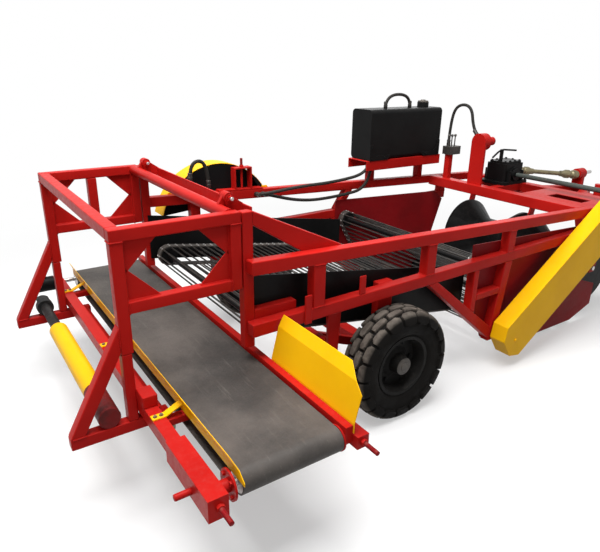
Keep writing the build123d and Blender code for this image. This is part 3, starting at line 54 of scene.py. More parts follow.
# quads of a rows x cols grid; a closed direction joins its last line to its first
def gridQuads(rows, cols, closeRows=False, closeCols=False):
    i, j = np.meshgrid(np.arange(rows - (not closeRows)), np.arange(cols - (not closeCols)), indexing="ij")
    k, m = (i + 1) % rows, (j + 1) % cols
    return np.stack([i * cols + j, i * cols + m, k * cols + m, k * cols + j], -1).reshape(-1, 4)


# joins (points, quads) pairs into one pair
def joined(parts):
    starts = np.cumsum([0] + [len(points) for points, _ in parts[:-1]])
    return np.concatenate([p for p, _ in parts]), np.concatenate([q + s for (_, q), s in zip(parts, starts)])


# one finished mesh from arrays: poles merged, faces turned outwards, edges over sharpDeg kept crisp
def putPiece(name, shape, body, look, sharpDeg=35, values=None):
    points, quads = shape
    mesh = bpy.data.meshes.new(name)
    mesh.from_pydata(points, [], quads)
    for key, value in (values or {}).items():
        mesh.attributes.new(key, "FLOAT", "POINT").data.foreach_set("value", np.asarray(value, np.float32))
    bm = bmesh.new()
    bm.from_mesh(mesh)
    bmesh.ops.remove_doubles(bm, verts=bm.verts, dist=1e-6)
    bmesh.ops.recalc_face_normals(bm, faces=bm.faces)
    bm.to_mesh(mesh)
    bm.free()
    mesh.shade_smooth()
    mesh.set_sharp_from_angle(angle=np.radians(sharpDeg))
    mesh.materials.append(look)
    piece = bpy.data.objects.new(name, mesh)
    bpy.context.scene.collection.objects.link(piece)
    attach(piece, body)
    return piece


# rows of unit axes (u, v, w) with w along each direction
def axesFor(directions):
    w = np.atleast_2d(np.asarray(directions, float))
    w = w / np.linalg.norm(w, axis=1, keepdims=True)
    helper = np.where(np.abs(w[:, 2:]) < 0.9, [[0.0, 0.0, 1.0]], [[1.0, 0.0, 0.0]])
    u = np.cross(helper, w)
    u /= np.linalg.norm(u, axis=1, keepdims=True)
    return np.stack([u, np.cross(w, u), w], 1)


# copies of one small shape: point = place + x u + y v + z w for every row of axes and places
def scatter(shape, axes, places):
    points, quads = shape
    spread = np.einsum("vj,njk->nvk", points, np.broadcast_to(axes, (len(places), 3, 3))) + places[:, None, :]
    step = np.arange(len(places))[:, None, None] * len(points)
    return spread.reshape(-1, 3), (quads[None] + step).reshape(-1, 4)


# turned shape: point(t, a) = (r k cos a, r k sin a, h)
# k is 1 on a round row and the hexagon's ratio on a hexed row
def turned(rows, sides=24):
    r, h, hexed = [np.array(c, float)[:, None] for c in zip(*[(*row, 0)[:3] for row in rows])]
    a = np.arange(sides) * 2 * pi / sides
    ratio = np.cos(pi / 6) / np.cos((a + pi / 6) % (pi / 3) - pi / 6)
    k = 1 + hexed * (ratio - 1)
    points = np.stack([r * k * np.cos(a), r * k * np.sin(a), h + 0 * a], -1)
    return points.reshape(-1, 3), gridQuads(len(rows), sides, closeCols=True)


# swept shape: point(s, a) = path(s) + size(s) (f(a) side(s) + g(a) rise(s))
# rise stands square to the path and to side
def swept(path, section, up=(0, 0, 1), closed=False, size=None):
    path = np.asarray(path, float)
    along = np.roll(path, -1, 0) - np.roll(path, 1, 0) if closed else np.gradient(path, axis=0)
    along /= np.linalg.norm(along, axis=1, keepdims=True)
    side = np.cross(along, np.asarray(up, float))
    side /= np.linalg.norm(side, axis=1, keepdims=True)
    rise = np.cross(side, along)
    f, g = np.asarray(section, float).T
    size = np.ones(len(path)) if size is None else np.asarray(size, float)
    points = path[:, None] + size[:, None, None] * (f[:, None] * side[:, None] + g[:, None] * rise[:, None])
    return points.reshape(-1, 3), gridQuads(len(path), len(f), closeRows=closed, closeCols=True)


# round section of n points
def ringSection(radius, n=12):
    a = np.arange(n) * 2 * pi / n
    return np.stack([radius * np.cos(a), radius * np.sin(a)], 1)


# camera: lens and place come from fitting the photograph's gantry lines; degrees for the three angles
cameraView = {"at": (-0.599, -3.169, 2.150), "heading": 55.8, "down": 20.96, "roll": 0.80,
              "focalPixels": 552.0, "imageWide": 600, "sensor": 36.0}


def makeCamera():
    yaw, pitch, roll = np.radians([cameraView[k] for k in ("heading", "down", "roll")])
    look = np.array([np.cos(yaw) * np.cos(pitch), np.sin(yaw) * np.cos(pitch), -np.sin(pitch)])
    right = np.array([np.sin(yaw), -np.cos(yaw), 0.0])
    up = np.cross(right, look)
    rolled = np.cos(roll) * right + np.sin(roll) * up
    upright = -np.sin(roll) * right + np.cos(roll) * up
    lens = bpy.data.cameras.new("photoCamera")
    lens.sensor_width = cameraView["sensor"]
    lens.lens = cameraView["focalPixels"] / cameraView["imageWide"] * cameraView["sensor"]
    camera = bpy.data.objects.new("photoCamera", lens)
    turn = np.eye(4)
    turn[:3] = np.column_stack([rolled, upright, -look, np.array(cameraView["at"]) + home])
    camera.matrix_world = Matrix(turn.tolist())
    bpy.context.scene.collection.objects.link(camera)
    bpy.context.scene.camera = camera


# node helpers: each returns the socket that the next node reads
def newLook(name):
    look = bpy.data.materials.new(name)
    look.use_nodes = True
    tree = look.node_tree
    return look, tree, tree.nodes["Principled BSDF"]


def wire(tree, kind, inputs=None, **settings):
    node = tree.nodes.new(kind)
    for key, value in settings.items():
        setattr(node, key, value)
    for key, value in (inputs or {}).items():
        if isinstance(value, bpy.types.NodeSocket):
            tree.links.new(value, node.inputs[key])
        else:
            node.inputs[key].default_value = value
    return node


def noise(tree, coords, scale, detail=4.0, rough=0.55, stretch=None):
    if stretch:
        coords = wire(tree, "ShaderNodeMapping", {"Vector": coords, "Scale": stretch}).outputs["Vector"]
    inputs = {"Vector": coords, "Scale": scale, "Detail": detail, "Roughness": rough}
    return wire(tree, "ShaderNodeTexNoise", inputs).outputs["Fac"]


def ramp(tree, value, low, high, toLow=0.0, toHigh=1.0):
    inputs = {"Value": value, "From Min": low, "From Max": high, "To Min": toLow, "To Max": toHigh}
    return wire(tree, "ShaderNodeMapRange", inputs, interpolation_type="SMOOTHSTEP").outputs["Result"]


def mixed(tree, share, first, second):
    node = wire(tree, "ShaderNodeMix", data_type="RGBA")
    for socket, value in ((node.inputs[0], share), (node.inputs[6], first), (node.inputs[7], second)):
        if isinstance(value, bpy.types.NodeSocket):
            tree.links.new(value, socket)
        else:
            socket.default_value = value if isinstance(value, float) else (*value, 1.0)
    return node.outputs[2]


def product(tree, first, second):
    return wire(tree, "ShaderNodeMath", {0: first, 1: second}, operation="MULTIPLY").outputs[0]


def larger(tree, first, second):
    return wire(tree, "ShaderNodeMath", {0: first, 1: second}, operation="MAXIMUM").outputs[0]


def bumped(tree, shader, height, strength, distance):
    bump = wire(tree, "ShaderNodeBump", {"Height": height, "Strength": strength, "Distance": distance})
    tree.links.new(bump.outputs["Normal"], shader.inputs["Normal"])


# upward share of the surface's normal, -1 to 1
def facingUp(tree):
    normal = wire(tree, "ShaderNodeNewGeometry").outputs["Normal"]
    return wire(tree, "ShaderNodeSeparateXYZ", {"Vector": normal}).outputs["Z"]


# sprayed paint: base colour drifts a little, a speckled tone lies on upward faces, fine orange peel; that tone is
# thin dust, and on the red paint a painted highlight
def paintLook(name, colour, shade, dustAndHighlight, dustMost=0.16, gloss=(0.30, 0.46), shine=0.07):
    look, tree, shader = newLook(name)
    coords = wire(tree, "ShaderNodeTexCoord").outputs["Object"]
    drift = noise(tree, coords, 2.3, 5.0)
    speck = noise(tree, coords, 38.0, 6.0, 0.7)
    body = mixed(tree, ramp(tree, drift, 0.35, 0.7), colour, shade)
    upward = ramp(tree, facingUp(tree), 0.1, 0.95, 0.1, 1.0)
    # upward faces take the given tone in specks: dust, and for the red paint a painted highlight of the light from
    # above
    dustAndHighlightShare = product(tree, upward, ramp(tree, speck, 0.42, 0.78, 0.0, dustMost))
    tree.links.new(mixed(tree, dustAndHighlightShare, body, dustAndHighlight), shader.inputs["Base Color"])
    tree.links.new(ramp(tree, speck, 0.3, 0.75, *gloss), shader.inputs["Roughness"])
    shader.inputs["Specular IOR Level"].default_value = shine
    bumped(tree, shader, noise(tree, coords, 420.0, 2.0), 0.06, 0.0006)
    return look


# bare or plated steel: streaked roughness, faint stain
def steelLook(name, colour, stain, gloss=(0.28, 0.5), metal=1.0, grain=60.0):
    look, tree, shader = newLook(name)
    coords = wire(tree, "ShaderNodeTexCoord").outputs["Object"]
    blotch = noise(tree, coords, 14.0, 6.0, 0.65)
    tree.links.new(mixed(tree, ramp(tree, blotch, 0.42, 0.72), colour, stain), shader.inputs["Base Color"])
    tree.links.new(ramp(tree, noise(tree, coords, grain, 4.0), 0.3, 0.7, *gloss), shader.inputs["Roughness"])
    shader.inputs["Metallic"].default_value = metal
    bumped(tree, shader, noise(tree, coords, 260.0, 3.0), 0.08, 0.0008)
    return look


# shaft ends: the near one was sprayed red with the frame and is coloured darker as painted shade, the far one is
# black the two colours part on the centre plane
def yokeLook():
    look, tree, shader = newLook("yokePaintAndShade")
    coords = wire(tree, "ShaderNodeTexCoord").outputs["Object"]
    across = wire(tree, "ShaderNodeSeparateXYZ", {"Vector": coords}).outputs["Y"]
    nearPatch = ramp(tree, noise(tree, coords, 20.0, 6.0), 0.4, 0.7)
    farPatch = ramp(tree, noise(tree, coords, 30.0, 6.0), 0.4, 0.7)
    # near colours: the frame's red darkened, painted shade
    nearShadedRed = mixed(tree, nearPatch, (0.16, 0.010, 0.010), (0.09, 0.012, 0.011))
    far = mixed(tree, farPatch, (0.010, 0.010, 0.010), (0.026, 0.024, 0.022))
    farSide = ramp(tree, across, home[1] - 0.1, home[1] + 0.1)
    tree.links.new(mixed(tree, farSide, nearShadedRed, far), shader.inputs["Base Color"])
    tree.links.new(ramp(tree, noise(tree, coords, 60.0), 0.3, 0.7, 0.4, 0.6), shader.inputs["Roughness"])
    shader.inputs["Specular IOR Level"].default_value = 0.15
    return look


# conveyor rubber: grey-brown dust in blotches and long scuffs along the belt's run
def beltLook():
    look, tree, shader = newLook("beltRubber")
    coords = wire(tree, "ShaderNodeTexCoord").outputs["Object"]
    blotch = noise(tree, coords, 2.6, 7.0, 0.62)
    scuff = noise(tree, coords, 9.0, 5.0, 0.6, stretch=(6.0, 0.5, 6.0))
    fine = noise(tree, coords, 120.0, 4.0, 0.7)
    body = mixed(tree, ramp(tree, blotch, 0.3, 0.72), (0.040, 0.036, 0.033), (0.098, 0.085, 0.076))
    body = mixed(tree, ramp(tree, scuff, 0.56, 0.78, 0.0, 0.5), body, (0.135, 0.120, 0.106))
    tree.links.new(body, shader.inputs["Base Color"])
    tree.links.new(ramp(tree, fine, 0.3, 0.75, 0.48, 0.72), shader.inputs["Roughness"])
    shader.inputs["Specular IOR Level"].default_value = 0.25
    bumped(tree, shader, fine, 0.18, 0.0012)
    return look


# tyre rubber: dust is painted by the mesh's own tread value, strongest on the worn block tops
def tyreLook():
    look, tree, shader = newLook("tyreRubber")
    coords = wire(tree, "ShaderNodeTexCoord").outputs["Object"]
    worn = wire(tree, "ShaderNodeAttribute", attribute_name="tread").outputs["Fac"]
    blotch = noise(tree, coords, 16.0, 6.0, 0.65)
    dirt = noise(tree, coords, 4.0, 5.0)
    smear = ramp(tree, dirt, 0.4, 0.75, 0.0, 0.7)
    wall = mixed(tree, smear, (0.006, 0.0056, 0.0053), (0.014, 0.0127, 0.0115))
    top = mixed(tree, ramp(tree, blotch, 0.35, 0.7), (0.075, 0.064, 0.055), (0.155, 0.134, 0.114))
    tree.links.new(mixed(tree, worn, wall, top), shader.inputs["Base Color"])
    tree.links.new(ramp(tree, blotch, 0.3, 0.7, 0.55, 0.8), shader.inputs["Roughness"])
    shader.inputs["Specular IOR Level"].default_value = 0.05
    bumped(tree, shader, noise(tree, coords, 180.0, 5.0, 0.7), 0.2, 0.001)
    return look


dustTone = (0.42, 0.30, 0.24)
looks = {
    # red paint: its last colour, a lighter pink, lies on upward faces as a painted highlight of the light from
    # above
    "red_paint": paintLook("redPaint", (0.48, 0.012, 0.009), (0.40, 0.009, 0.007), (0.40, 0.11, 0.09), 0.14),
    "dark_red_paint": paintLook("darkRedPaint", (0.28, 0.008, 0.011), (0.20, 0.007, 0.009), dustTone, 0.3,
                                (0.35, 0.6)),
    "yellow_paint": paintLook("yellowPaint", (0.95, 0.52, 0.004), (0.88, 0.46, 0.004), (0.70, 0.46, 0.16),
                              0.10),
    "black_paint": paintLook("blackPaint", (0.006, 0.006, 0.0063), (0.010, 0.010, 0.010),
                             (0.07, 0.06, 0.052), 0.18, (0.30, 0.52), 0.06),
    "grey_green_paint": paintLook("greyGreenPaint", (0.072, 0.088, 0.080), (0.055, 0.066, 0.060), dustTone,
                                  0.2, (0.3, 0.5)),
    "bright_steel": steelLook("brightSteel", (0.52, 0.51, 0.50), (0.34, 0.30, 0.27)),
    "rod_steel": steelLook("rodSteel", (0.042, 0.040, 0.038), (0.085, 0.072, 0.060), (0.34, 0.55), 0.6),
    "zinc_plate": steelLook("zincPlate", (0.22, 0.19, 0.11), (0.13, 0.115, 0.075), (0.36, 0.55), 0.6),
    "belt_rubber": beltLook(),
    "hose_rubber": paintLook("hoseRubber", (0.026, 0.025, 0.023), (0.040, 0.037, 0.034),
                             (0.13, 0.115, 0.10), 0.35, (0.38, 0.55)),
    "tyre_rubber": tyreLook(),
}
rimLook = paintLook("rimPaint", (0.012, 0.0115, 0.011), (0.019, 0.018, 0.017), (0.08, 0.07, 0.06), 0.25,
                    (0.40, 0.58), 0.05)
castLook = steelLook("castBlock", (0.060, 0.058, 0.054), (0.10, 0.090, 0.078), (0.35, 0.55), 0.6)
nodeLooks = {"valve_block": castLook, "oil_pump": looks["red_paint"], "stowed_yokes": yokeLook(),
             "rim_right": rimLook, "rim_left": rimLook}
hubLook = steelLook("hubSteel", (0.042, 0.036, 0.031), (0.066, 0.054, 0.044), (0.45, 0.65), 0.25)
capLook = steelLook("capSteel", (0.082, 0.072, 0.062), (0.125, 0.105, 0.086), (0.45, 0.65), 0.25)
slotOf = {s["node"]: s["material_slot"] for s in frame["record"]["subparts"]}

# edge rounding in metres for the carried-over nodes; the rest keep their crisp edges
edgeRounds = {
    0.006: "side_rails frame_posts frame_uprights frame_braces front_beams gantry_posts gantry_rails "
           "gantry_cross_beams gantry_legs gantry_feet conveyor_rails conveyor_ties drawbar_beams "
           "gearbox_bearers axle_beam",
    0.004: "chain_case hitch_head gearbox rear_top_beam ridge_arms tank_cradle hydraulic_stands "
           "shaft_bearings jack_sleeve",
    0.0022: "gantry_gussets gantry_pivot_tube belt_tensioners web_adjuster valve_block belt_motor oil_pump "
            "digging_share rim_right rim_left web_rollers belt_rollers stowed_shaft jack_leg oil_tank "
            "joint_shaft cross_shaft stowed_yokes",
    0.0012: "conveyor_guards drive_hood hood_cheek share_plates web_cheeks pivot_pins ridge_axle input_shaft "
            "ridge_roller_right ridge_roller_left",
}
roundFrom = {"conveyor_guards": 8, "others": 40}      # degrees of bend from which an edge is rounded


def finishNodes():
    for wide, names in edgeRounds.items():
        for name in names.split():
            piece = nodes[name]
            piece.modifiers.new("merge", "WELD").merge_threshold = 1e-5
            flat = piece.modifiers.new("flat", "DECIMATE")
            flat.decimate_type = "DISSOLVE"
            flat.angle_limit = np.radians(0.5)
            bevel = piece.modifiers.new("round", "BEVEL")
            bevel.width = wide
            bevel.segments = 2
            bevel.limit_method = "ANGLE"
            bevel.angle_limit = np.radians(roundFrom.get(name, roundFrom["others"]))
            bevel.use_clamp_overlap = True
            piece.modifiers.new("shade", "WEIGHTED_NORMAL").keep_sharp = False
    for name, piece in nodes.items():
        piece.data.materials.clear()
        piece.data.materials.append(nodeLooks.get(name, looks[slotOf[name]]))


# stage: white sky, pale floor that fades into it, one broad lamp above and a softer one from each side
stage = {"floorHalf": 60.0, "fadeFrom": 2.6, "fadeTo": 6.0, "floorTone": 0.93, "floorBounce": 0.30,
         "shadowLift": 0.4, "skyLight": 0.30}
lamps = (      # name, place, aim, size, watts
    ("overheadLamp", (-2.2, -0.6, 6.5), (-0.3, 0, 0.6), 4.5, 680.0),
    ("sideLamp", (-6.5, -5.5, 4.0), (0, 0, 0.8), 4.5, 40.0),
    ("farLamp", (6.5, 5.5, 4.0), (0, 0, 0.8), 4.5, 60.0),
)


# one value for camera, mirror and glass rays, another for the light that the surface sheds
def seenOr(tree, seen, shed):
    rays = wire(tree, "ShaderNodeLightPath")
    clear = larger(tree, rays.outputs["Is Camera Ray"], rays.outputs["Is Glossy Ray"])
    clear = larger(tree, clear, rays.outputs["Is Transmission Ray"])
    inputs = {"Value": clear, "To Min": shed, "To Max": seen}
    return wire(tree, "ShaderNodeMapRange", inputs).outputs["Result"]


def makeSky():
    world = bpy.data.worlds.new("sky")
    bpy.context.scene.world = world
    world.use_nodes = True
    tree = world.node_tree
    tree.nodes["Background"].inputs["Color"].default_value = (1, 1, 1, 1)
    tree.links.new(seenOr(tree, 1.0, stage["skyLight"]), tree.nodes["Background"].inputs["Strength"])


def makeFloor():
    look, tree, shader = newLook("paleFloor")
    coords = wire(tree, "ShaderNodeTexCoord").outputs["Object"]
    away = wire(tree, "ShaderNodeVectorMath", {0: coords}, operation="LENGTH").outputs["Value"]
    fade = ramp(tree, away, stage["fadeFrom"], stage["fadeTo"], stage["shadowLift"], 1.0)
    greys = {k: seenOr(tree, stage["floorTone"], stage["floorBounce"]) for k in range(3)}
    tone = wire(tree, "ShaderNodeCombineColor", greys)
    tree.links.new(tone.outputs[0], shader.inputs["Base Color"])
    shader.inputs["Roughness"].default_value = 0.9
    strength = seenOr(tree, 1.0, stage["skyLight"])
    glow = wire(tree, "ShaderNodeEmission", {"Color": (1, 1, 1, 1), "Strength": strength})
    blend = wire(tree, "ShaderNodeMixShader", {0: fade, 1: shader.outputs[0], 2: glow.outputs[0]})
    tree.links.new(blend.outputs[0], tree.nodes["Material Output"].inputs["Surface"])
    half = stage["floorHalf"]
    corners = [(-half, -half, 0), (half, -half, 0), (half, half, 0), (-half, half, 0)]
    mesh = bpy.data.meshes.new("floor")
    mesh.from_pydata(corners, [], [(0, 1, 2, 3)])
    mesh.materials.append(look)
    floor = bpy.data.objects.new("floor", mesh)
    bpy.context.scene.collection.objects.link(floor)


def makeLamps():
    for name, place, aim, size, watts in lamps:
        lamp = bpy.data.lights.new(name, "AREA")
        lamp.size = size
        lamp.energy = watts
        carrier = bpy.data.objects.new(name, lamp)
        turn = np.eye(4)
        turn[:3, :3] = axesFor([np.subtract(place, aim)])[0].T
        turn[:3, 3] = place
        carrier.matrix_world = Matrix(turn.tolist())
        bpy.context.scene.collection.objects.link(carrier)
    bpy.context.scene.view_settings.view_transform = "Standard"


# tyre: half section from bead to crown as (y, r); block rows are distances from the crown line
tyre = {
    "section": ((0.068, 0.193), (0.072, 0.207), (0.090, 0.222), (0.099, 0.250), (0.100, 0.280),
                (0.097, 0.312), (0.090, 0.338), (0.076, 0.352), (0.045, 0.3565), (0.0, 0.357)),
    "samples": 600, "smooth": 31, "around": 648, "across": 92,
    "blocks": 18, "blockTall": 0.018, "groove": 0.10, "innerRow": (0.004, 0.050), "outerRow": (0.058, 0.142),
    "endSlope": 3.0, "sideSlope": 2.2, "cornerCut": 1.52, "flank": 0.22,
    "ribs": (0.226, 0.2335, 0.298), "ribTall": 0.0016, "ribWide": 0.0022,
    "wornFrom": 0.345, "wornOver": 0.02, "dustMost": 0.95, "dustLeast": 0.02,
}


# 3 x^2 - 2 x^3, held at 0 and 1 outside
def smoothStep(x):
    x = np.clip(x, 0, 1)
    return x * x * (3 - 2 * x)


# y, r and distance from the crown along the section, its corners rounded by a running mean
def tyreSection():
    half = np.array(tyre["section"])
    whole = np.concatenate([half * [-1, 1], half[-2::-1]])
    length = np.concatenate([[0], np.cumsum(np.linalg.norm(np.diff(whole, axis=0), axis=1))])
    fine = np.linspace(0, length[-1], tyre["samples"])
    soft = np.stack([np.interp(fine, length, whole[:, i]) for i in (0, 1)], 1)
    kernel = np.hanning(tyre["smooth"])
    kernel /= kernel.sum()
    edge = tyre["smooth"] // 2
    soft[edge:-edge] = np.stack([np.convolve(soft[:, i], kernel, "valid") for i in (0, 1)], 1)
    s = np.linspace(0, 1, tyre["across"])
    y, r = [np.interp(s * fine[-1], fine, soft[:, i]) for i in (0, 1)]
    return y, r, (s - 0.5) * fine[-1]


# 1 on a block's top and 0 in the grooves; each row is half a pitch round from the next
def tyreBlocks(a, fromCrown):
    top = np.zeros((len(a), len(fromCrown)))
    for side in (-1, 1):
        for row, (low, high) in enumerate((tyre["innerRow"], tyre["outerRow"])):
            stagger = 0.25 * (side + 1) + 0.5 * row
            along = np.abs((a * tyre["blocks"] / (2 * pi) + stagger) % 1 - 0.5) * 2
            over = np.abs(side * fromCrown - (low + high) / 2) / ((high - low) / 2)
            ends = (1 - tyre["groove"] - along) * tyre["endSlope"]
            sides = (1 - over) * tyre["sideSlope"]
            corners = (tyre["cornerCut"] - along - over) * tyre["sideSlope"]
            inside = np.minimum(np.minimum(ends, sides), corners)
            top = np.maximum(top, smoothStep(inside / tyre["flank"]))
    return top


# point(a, s) = axle + (y(s) + h ny(s)) along the axle + (r(s) + h nr(s)) round it
# h(a, s) is the block height plus thin ribs on the wall; ny and nr are the section's normal
def tyreShape(centre):
    y, r, fromCrown = tyreSection()
    tangent = np.gradient(np.stack([y, r], 1), axis=0)
    tangent /= np.linalg.norm(tangent, axis=1, keepdims=True)
    ny, nr = -tangent[:, 1], tangent[:, 0]
    a = np.arange(tyre["around"])[:, None] * 2 * pi / tyre["around"]
    top = tyreBlocks(a, fromCrown)
    ribs = tyre["ribTall"] * sum(np.exp(-((r - at) / tyre["ribWide"]) ** 2) for at in tyre["ribs"])
    h = tyre["blockTall"] * top + ribs
    radius, across = r + h * nr, y + h * ny
    points = np.stack([radius * np.sin(a), across + 0 * a, radius * np.cos(a)], -1) + centre
    worn = np.clip((radius - tyre["wornFrom"]) / tyre["wornOver"], 0, 1)
    dusty = top * worn * tyre["dustMost"] + tyre["dustLeast"]
    return (points.reshape(-1, 3), gridQuads(tyre["around"], tyre["across"], closeRows=True)), dusty.ravel()


def makeTyres():
    for side in ("right", "left"):
        shape, dusty = tyreShape(np.array(joints[f"wheel_{side}_spin"]["pos_m"]))
        piece = putPiece(f"tyreTread_{side}", shape, f"wheel_{side}", looks["tyre_rubber"], 60,
                         {"tread": dusty})
        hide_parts(f"tyre_{side}")


# machine sizes in metres that the added pieces share with the frame they sit on
frameHalf, railOut, postIn, railTall = 0.800, 0.870, 0.740, 0.075
railMiddle, postMiddle = (frameHalf + railOut) / 2, (postIn + frameHalf) / 2
deckTop, crossShaftZ = 1.0756, 1.166
beltAxis, beltEnd = 0.560, -1.540      # z of the belt's rollers, y of its near end
upperEdge = ((0.672, 1.214), (4.420, 1.071))      # (x, z) at both ends of a straight edge
lowerEdge = ((0.672, 0.788), (3.950, 0.844))


# z = z0 + (z1 - z0) (x - x0) / (x1 - x0)
def onEdge(edge, x):
    (x0, z0), (x1, z1) = edge
    return z0 + (z1 - z0) * (x - x0) / (x1 - x0)


def upperTop(x):
    return onEdge(upperEdge, x)


def lowerLow(x):
    return onEdge(lowerEdge, x)


braceEdge = ((0.720, 1.460), (1.300, upperTop(1.300)))


def braceTop(x):
    return onEdge(braceEdge, x)


# hexagon head on a round washer, one unit across its corners' half
boltRows = ((0, 0), (1.3, 0), (1.3, 0.2), (1.0, 0.2, 1), (1.0, 0.85, 1), (0.84, 0.98), (0, 0.98))


# bolts: the same turned head at every place, standing along its direction
def putBolts(name, body, slot, radius, places, directions):
    points, quads = turned(boltRows)
    places = np.asarray(places, float) + home
    axes = np.broadcast_to(axesFor(directions), (len(places), 3, 3))
    putPiece(name, scatter((points * radius, quads), axes, places), body, looks[slot])


# weld beads: a thin rod along each seam, size(s) = 0.85 + 0.3 |sin|, thinner towards both ends
weld = {"radius": 0.0042, "ripple": 0.007, "sides": 6}


def putWelds(name, body, seams):
    section = ringSection(weld["radius"], weld["sides"])
    beads = []
    for start, end in seams:
        start, end = np.add(start, home), np.add(end, home)
        length = np.linalg.norm(end - start)
        s = np.linspace(0, 1, max(int(length / weld["ripple"] * 3), 6))
        path = start + s[:, None] * (end - start)
        ripple = 0.85 + 0.3 * np.abs(np.sin(s * length / weld["ripple"] * pi))
        taper = np.sqrt(np.clip(np.minimum(s, 1 - s) * 40, 0.05, 1))
        up = (0, 0, 1) if abs(end[2] - start[2]) < 0.9 * length else (1, 0, 0)
        beads.append(swept(path, section, up, size=ripple * taper))
    putPiece(name, joined(beads), body, looks["red_paint"], 60)


# smooth line of a hose: a NURBS spline with the route's points as its control points, read back as points
def hoseLine(route):
    curve = bpy.data.curves.new("hoseLine", "CURVE")
    curve.dimensions = "3D"
    spline = curve.splines.new("NURBS")
    spline.points.add(len(route) - 1)
    spline.points.foreach_set("co", np.column_stack([route, np.ones(len(route))]).ravel())
    spline.order_u = 3
    spline.use_endpoint_u = True
    curve.resolution_u = 10
    carrier = bpy.data.objects.new("hoseLine", curve)
    line = bpy.data.meshes.new_from_object(carrier)
    points = np.empty(3 * len(line.vertices))
    line.vertices.foreach_get("co", points)
    bpy.data.meshes.remove(line)
    bpy.data.objects.remove(carrier)
    bpy.data.curves.remove(curve)
    return points.reshape(-1, 3)


# webs: shafts are (x, z); rods and edge belts run round them
webs = {"digging_web": {"shafts": ((3.600, 0.150), (2.580, 0.805), (2.885, 0.270)), "half": 0.775},
        "rear_web": {"shafts": ((2.430, 0.537), (0.800, 0.790)), "half": 0.700}}
webRod = {"loop": 0.0693, "radius": 0.0058, "pitch": 0.058, "sunk": 0.010, "sides": 12}
webBelt = {"wide": 0.055, "thick": 0.014, "round": 0.0025, "step": 0.02,
           "rivet": 0.0075, "rivetTall": 0.0035, "rivetOut": 0.014}


# loop(s) = arcs about the shafts joined by straight runs, sampled every pitch
def loopPath(shafts, radius, pitch, arcSteps=60):
    shafts = np.array(shafts)
    ahead = np.roll(shafts, -1, 0) - shafts
    facing = np.arctan2(ahead[:, 1], ahead[:, 0]) - pi / 2
    arcs = []
    for centre, first, last in zip(shafts, np.roll(facing, 1), facing):
        t = first + np.linspace(0, 1, arcSteps) * ((last - first) % (2 * pi))
        arcs.append(centre + radius * np.stack([np.cos(t), np.sin(t)], 1))
    dense = np.concatenate(arcs + [arcs[0][:1]])
    length = np.concatenate([[0], np.cumsum(np.linalg.norm(np.diff(dense, axis=0), axis=1))])
    count = round(length[-1] / pitch)
    s = np.arange(count) * length[-1] / count
    return np.stack([np.interp(s, length, dense[:, i]) for i in (0, 1)], 1)


# a path in the side view, (x, z), set at one y
def inSpace(path, y):
    return np.stack([path[:, 0], np.full(len(path), y), path[:, 1]], 1)


def makeWebs():
    body = "main_frame"
    t, w, c = webBelt["thick"] / 2, webBelt["wide"] / 2, webBelt["round"]
    section = [(-t, c - w), (c - t, -w), (t - c, -w), (t, c - w),
               (t, w - c), (t - c, w), (c - t, w), (-t, w - c)]
    rod, rivet, tall = webRod["radius"], webBelt["rivet"], webBelt["rivetTall"]
    head = turned([(0, 0), (rivet, 0), (0.8 * rivet, tall), (0, tall)], 12)
    for name, web in webs.items():
        stations = loopPath(web["shafts"], webRod["loop"], webRod["pitch"])
        reach = web["half"] - webRod["sunk"]
        bar = turned([(0, -reach), (rod, -reach), (rod, reach), (0, reach)], webRod["sides"])
        rods = scatter(bar, axesFor([(0, 1, 0)]), inSpace(stations, 0.0) + home)
        piece = putPiece(f"{name}Rods", rods, body, looks["rod_steel"])
        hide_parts(name)
        middle = web["half"] - w
        fine = loopPath(web["shafts"], webRod["loop"], webBelt["step"])
        loops = [inSpace(fine, y) + home for y in (-middle, middle)]
        belts = joined([swept(loop, section, (0, 1, 0), closed=True) for loop in loops])
        putPiece(f"{name}Belts", belts, body, looks["belt_rubber"])
        run = np.roll(stations, -1, 0) - np.roll(stations, 1, 0)
        out = inSpace(np.stack([run[:, 1], -run[:, 0]], 1) / np.linalg.norm(run, axis=1)[:, None], 0.0)
        rows = [side * middle + way * webBelt["rivetOut"] for side in (-1, 1) for way in (-1, 1)]
        seats = np.concatenate([inSpace(stations, y) + t * out for y in rows])
        rivets = scatter(head, np.tile(axesFor(out), (len(rows), 1, 1)), seats + home)
        putPiece(f"{name}Rivets", rivets, body, looks["bright_steel"])


# gearbox with its bolted flange and cover, and the pump drum on its stand behind
gearboxAt = {"x": 4.200, "y": 0.280, "flange": (0.380, 0.300), "flangeTop": deckTop + 0.025,
             "cover": (0.257, 0.197), "coverTop": deckTop + 0.215, "boltIn": 0.020, "bolt": 0.010}
pumpDrum = {"front": 3.840, "z": 1.490, "radius": 0.080, "circle": 0.060, "count": 6, "bolt": 0.009}

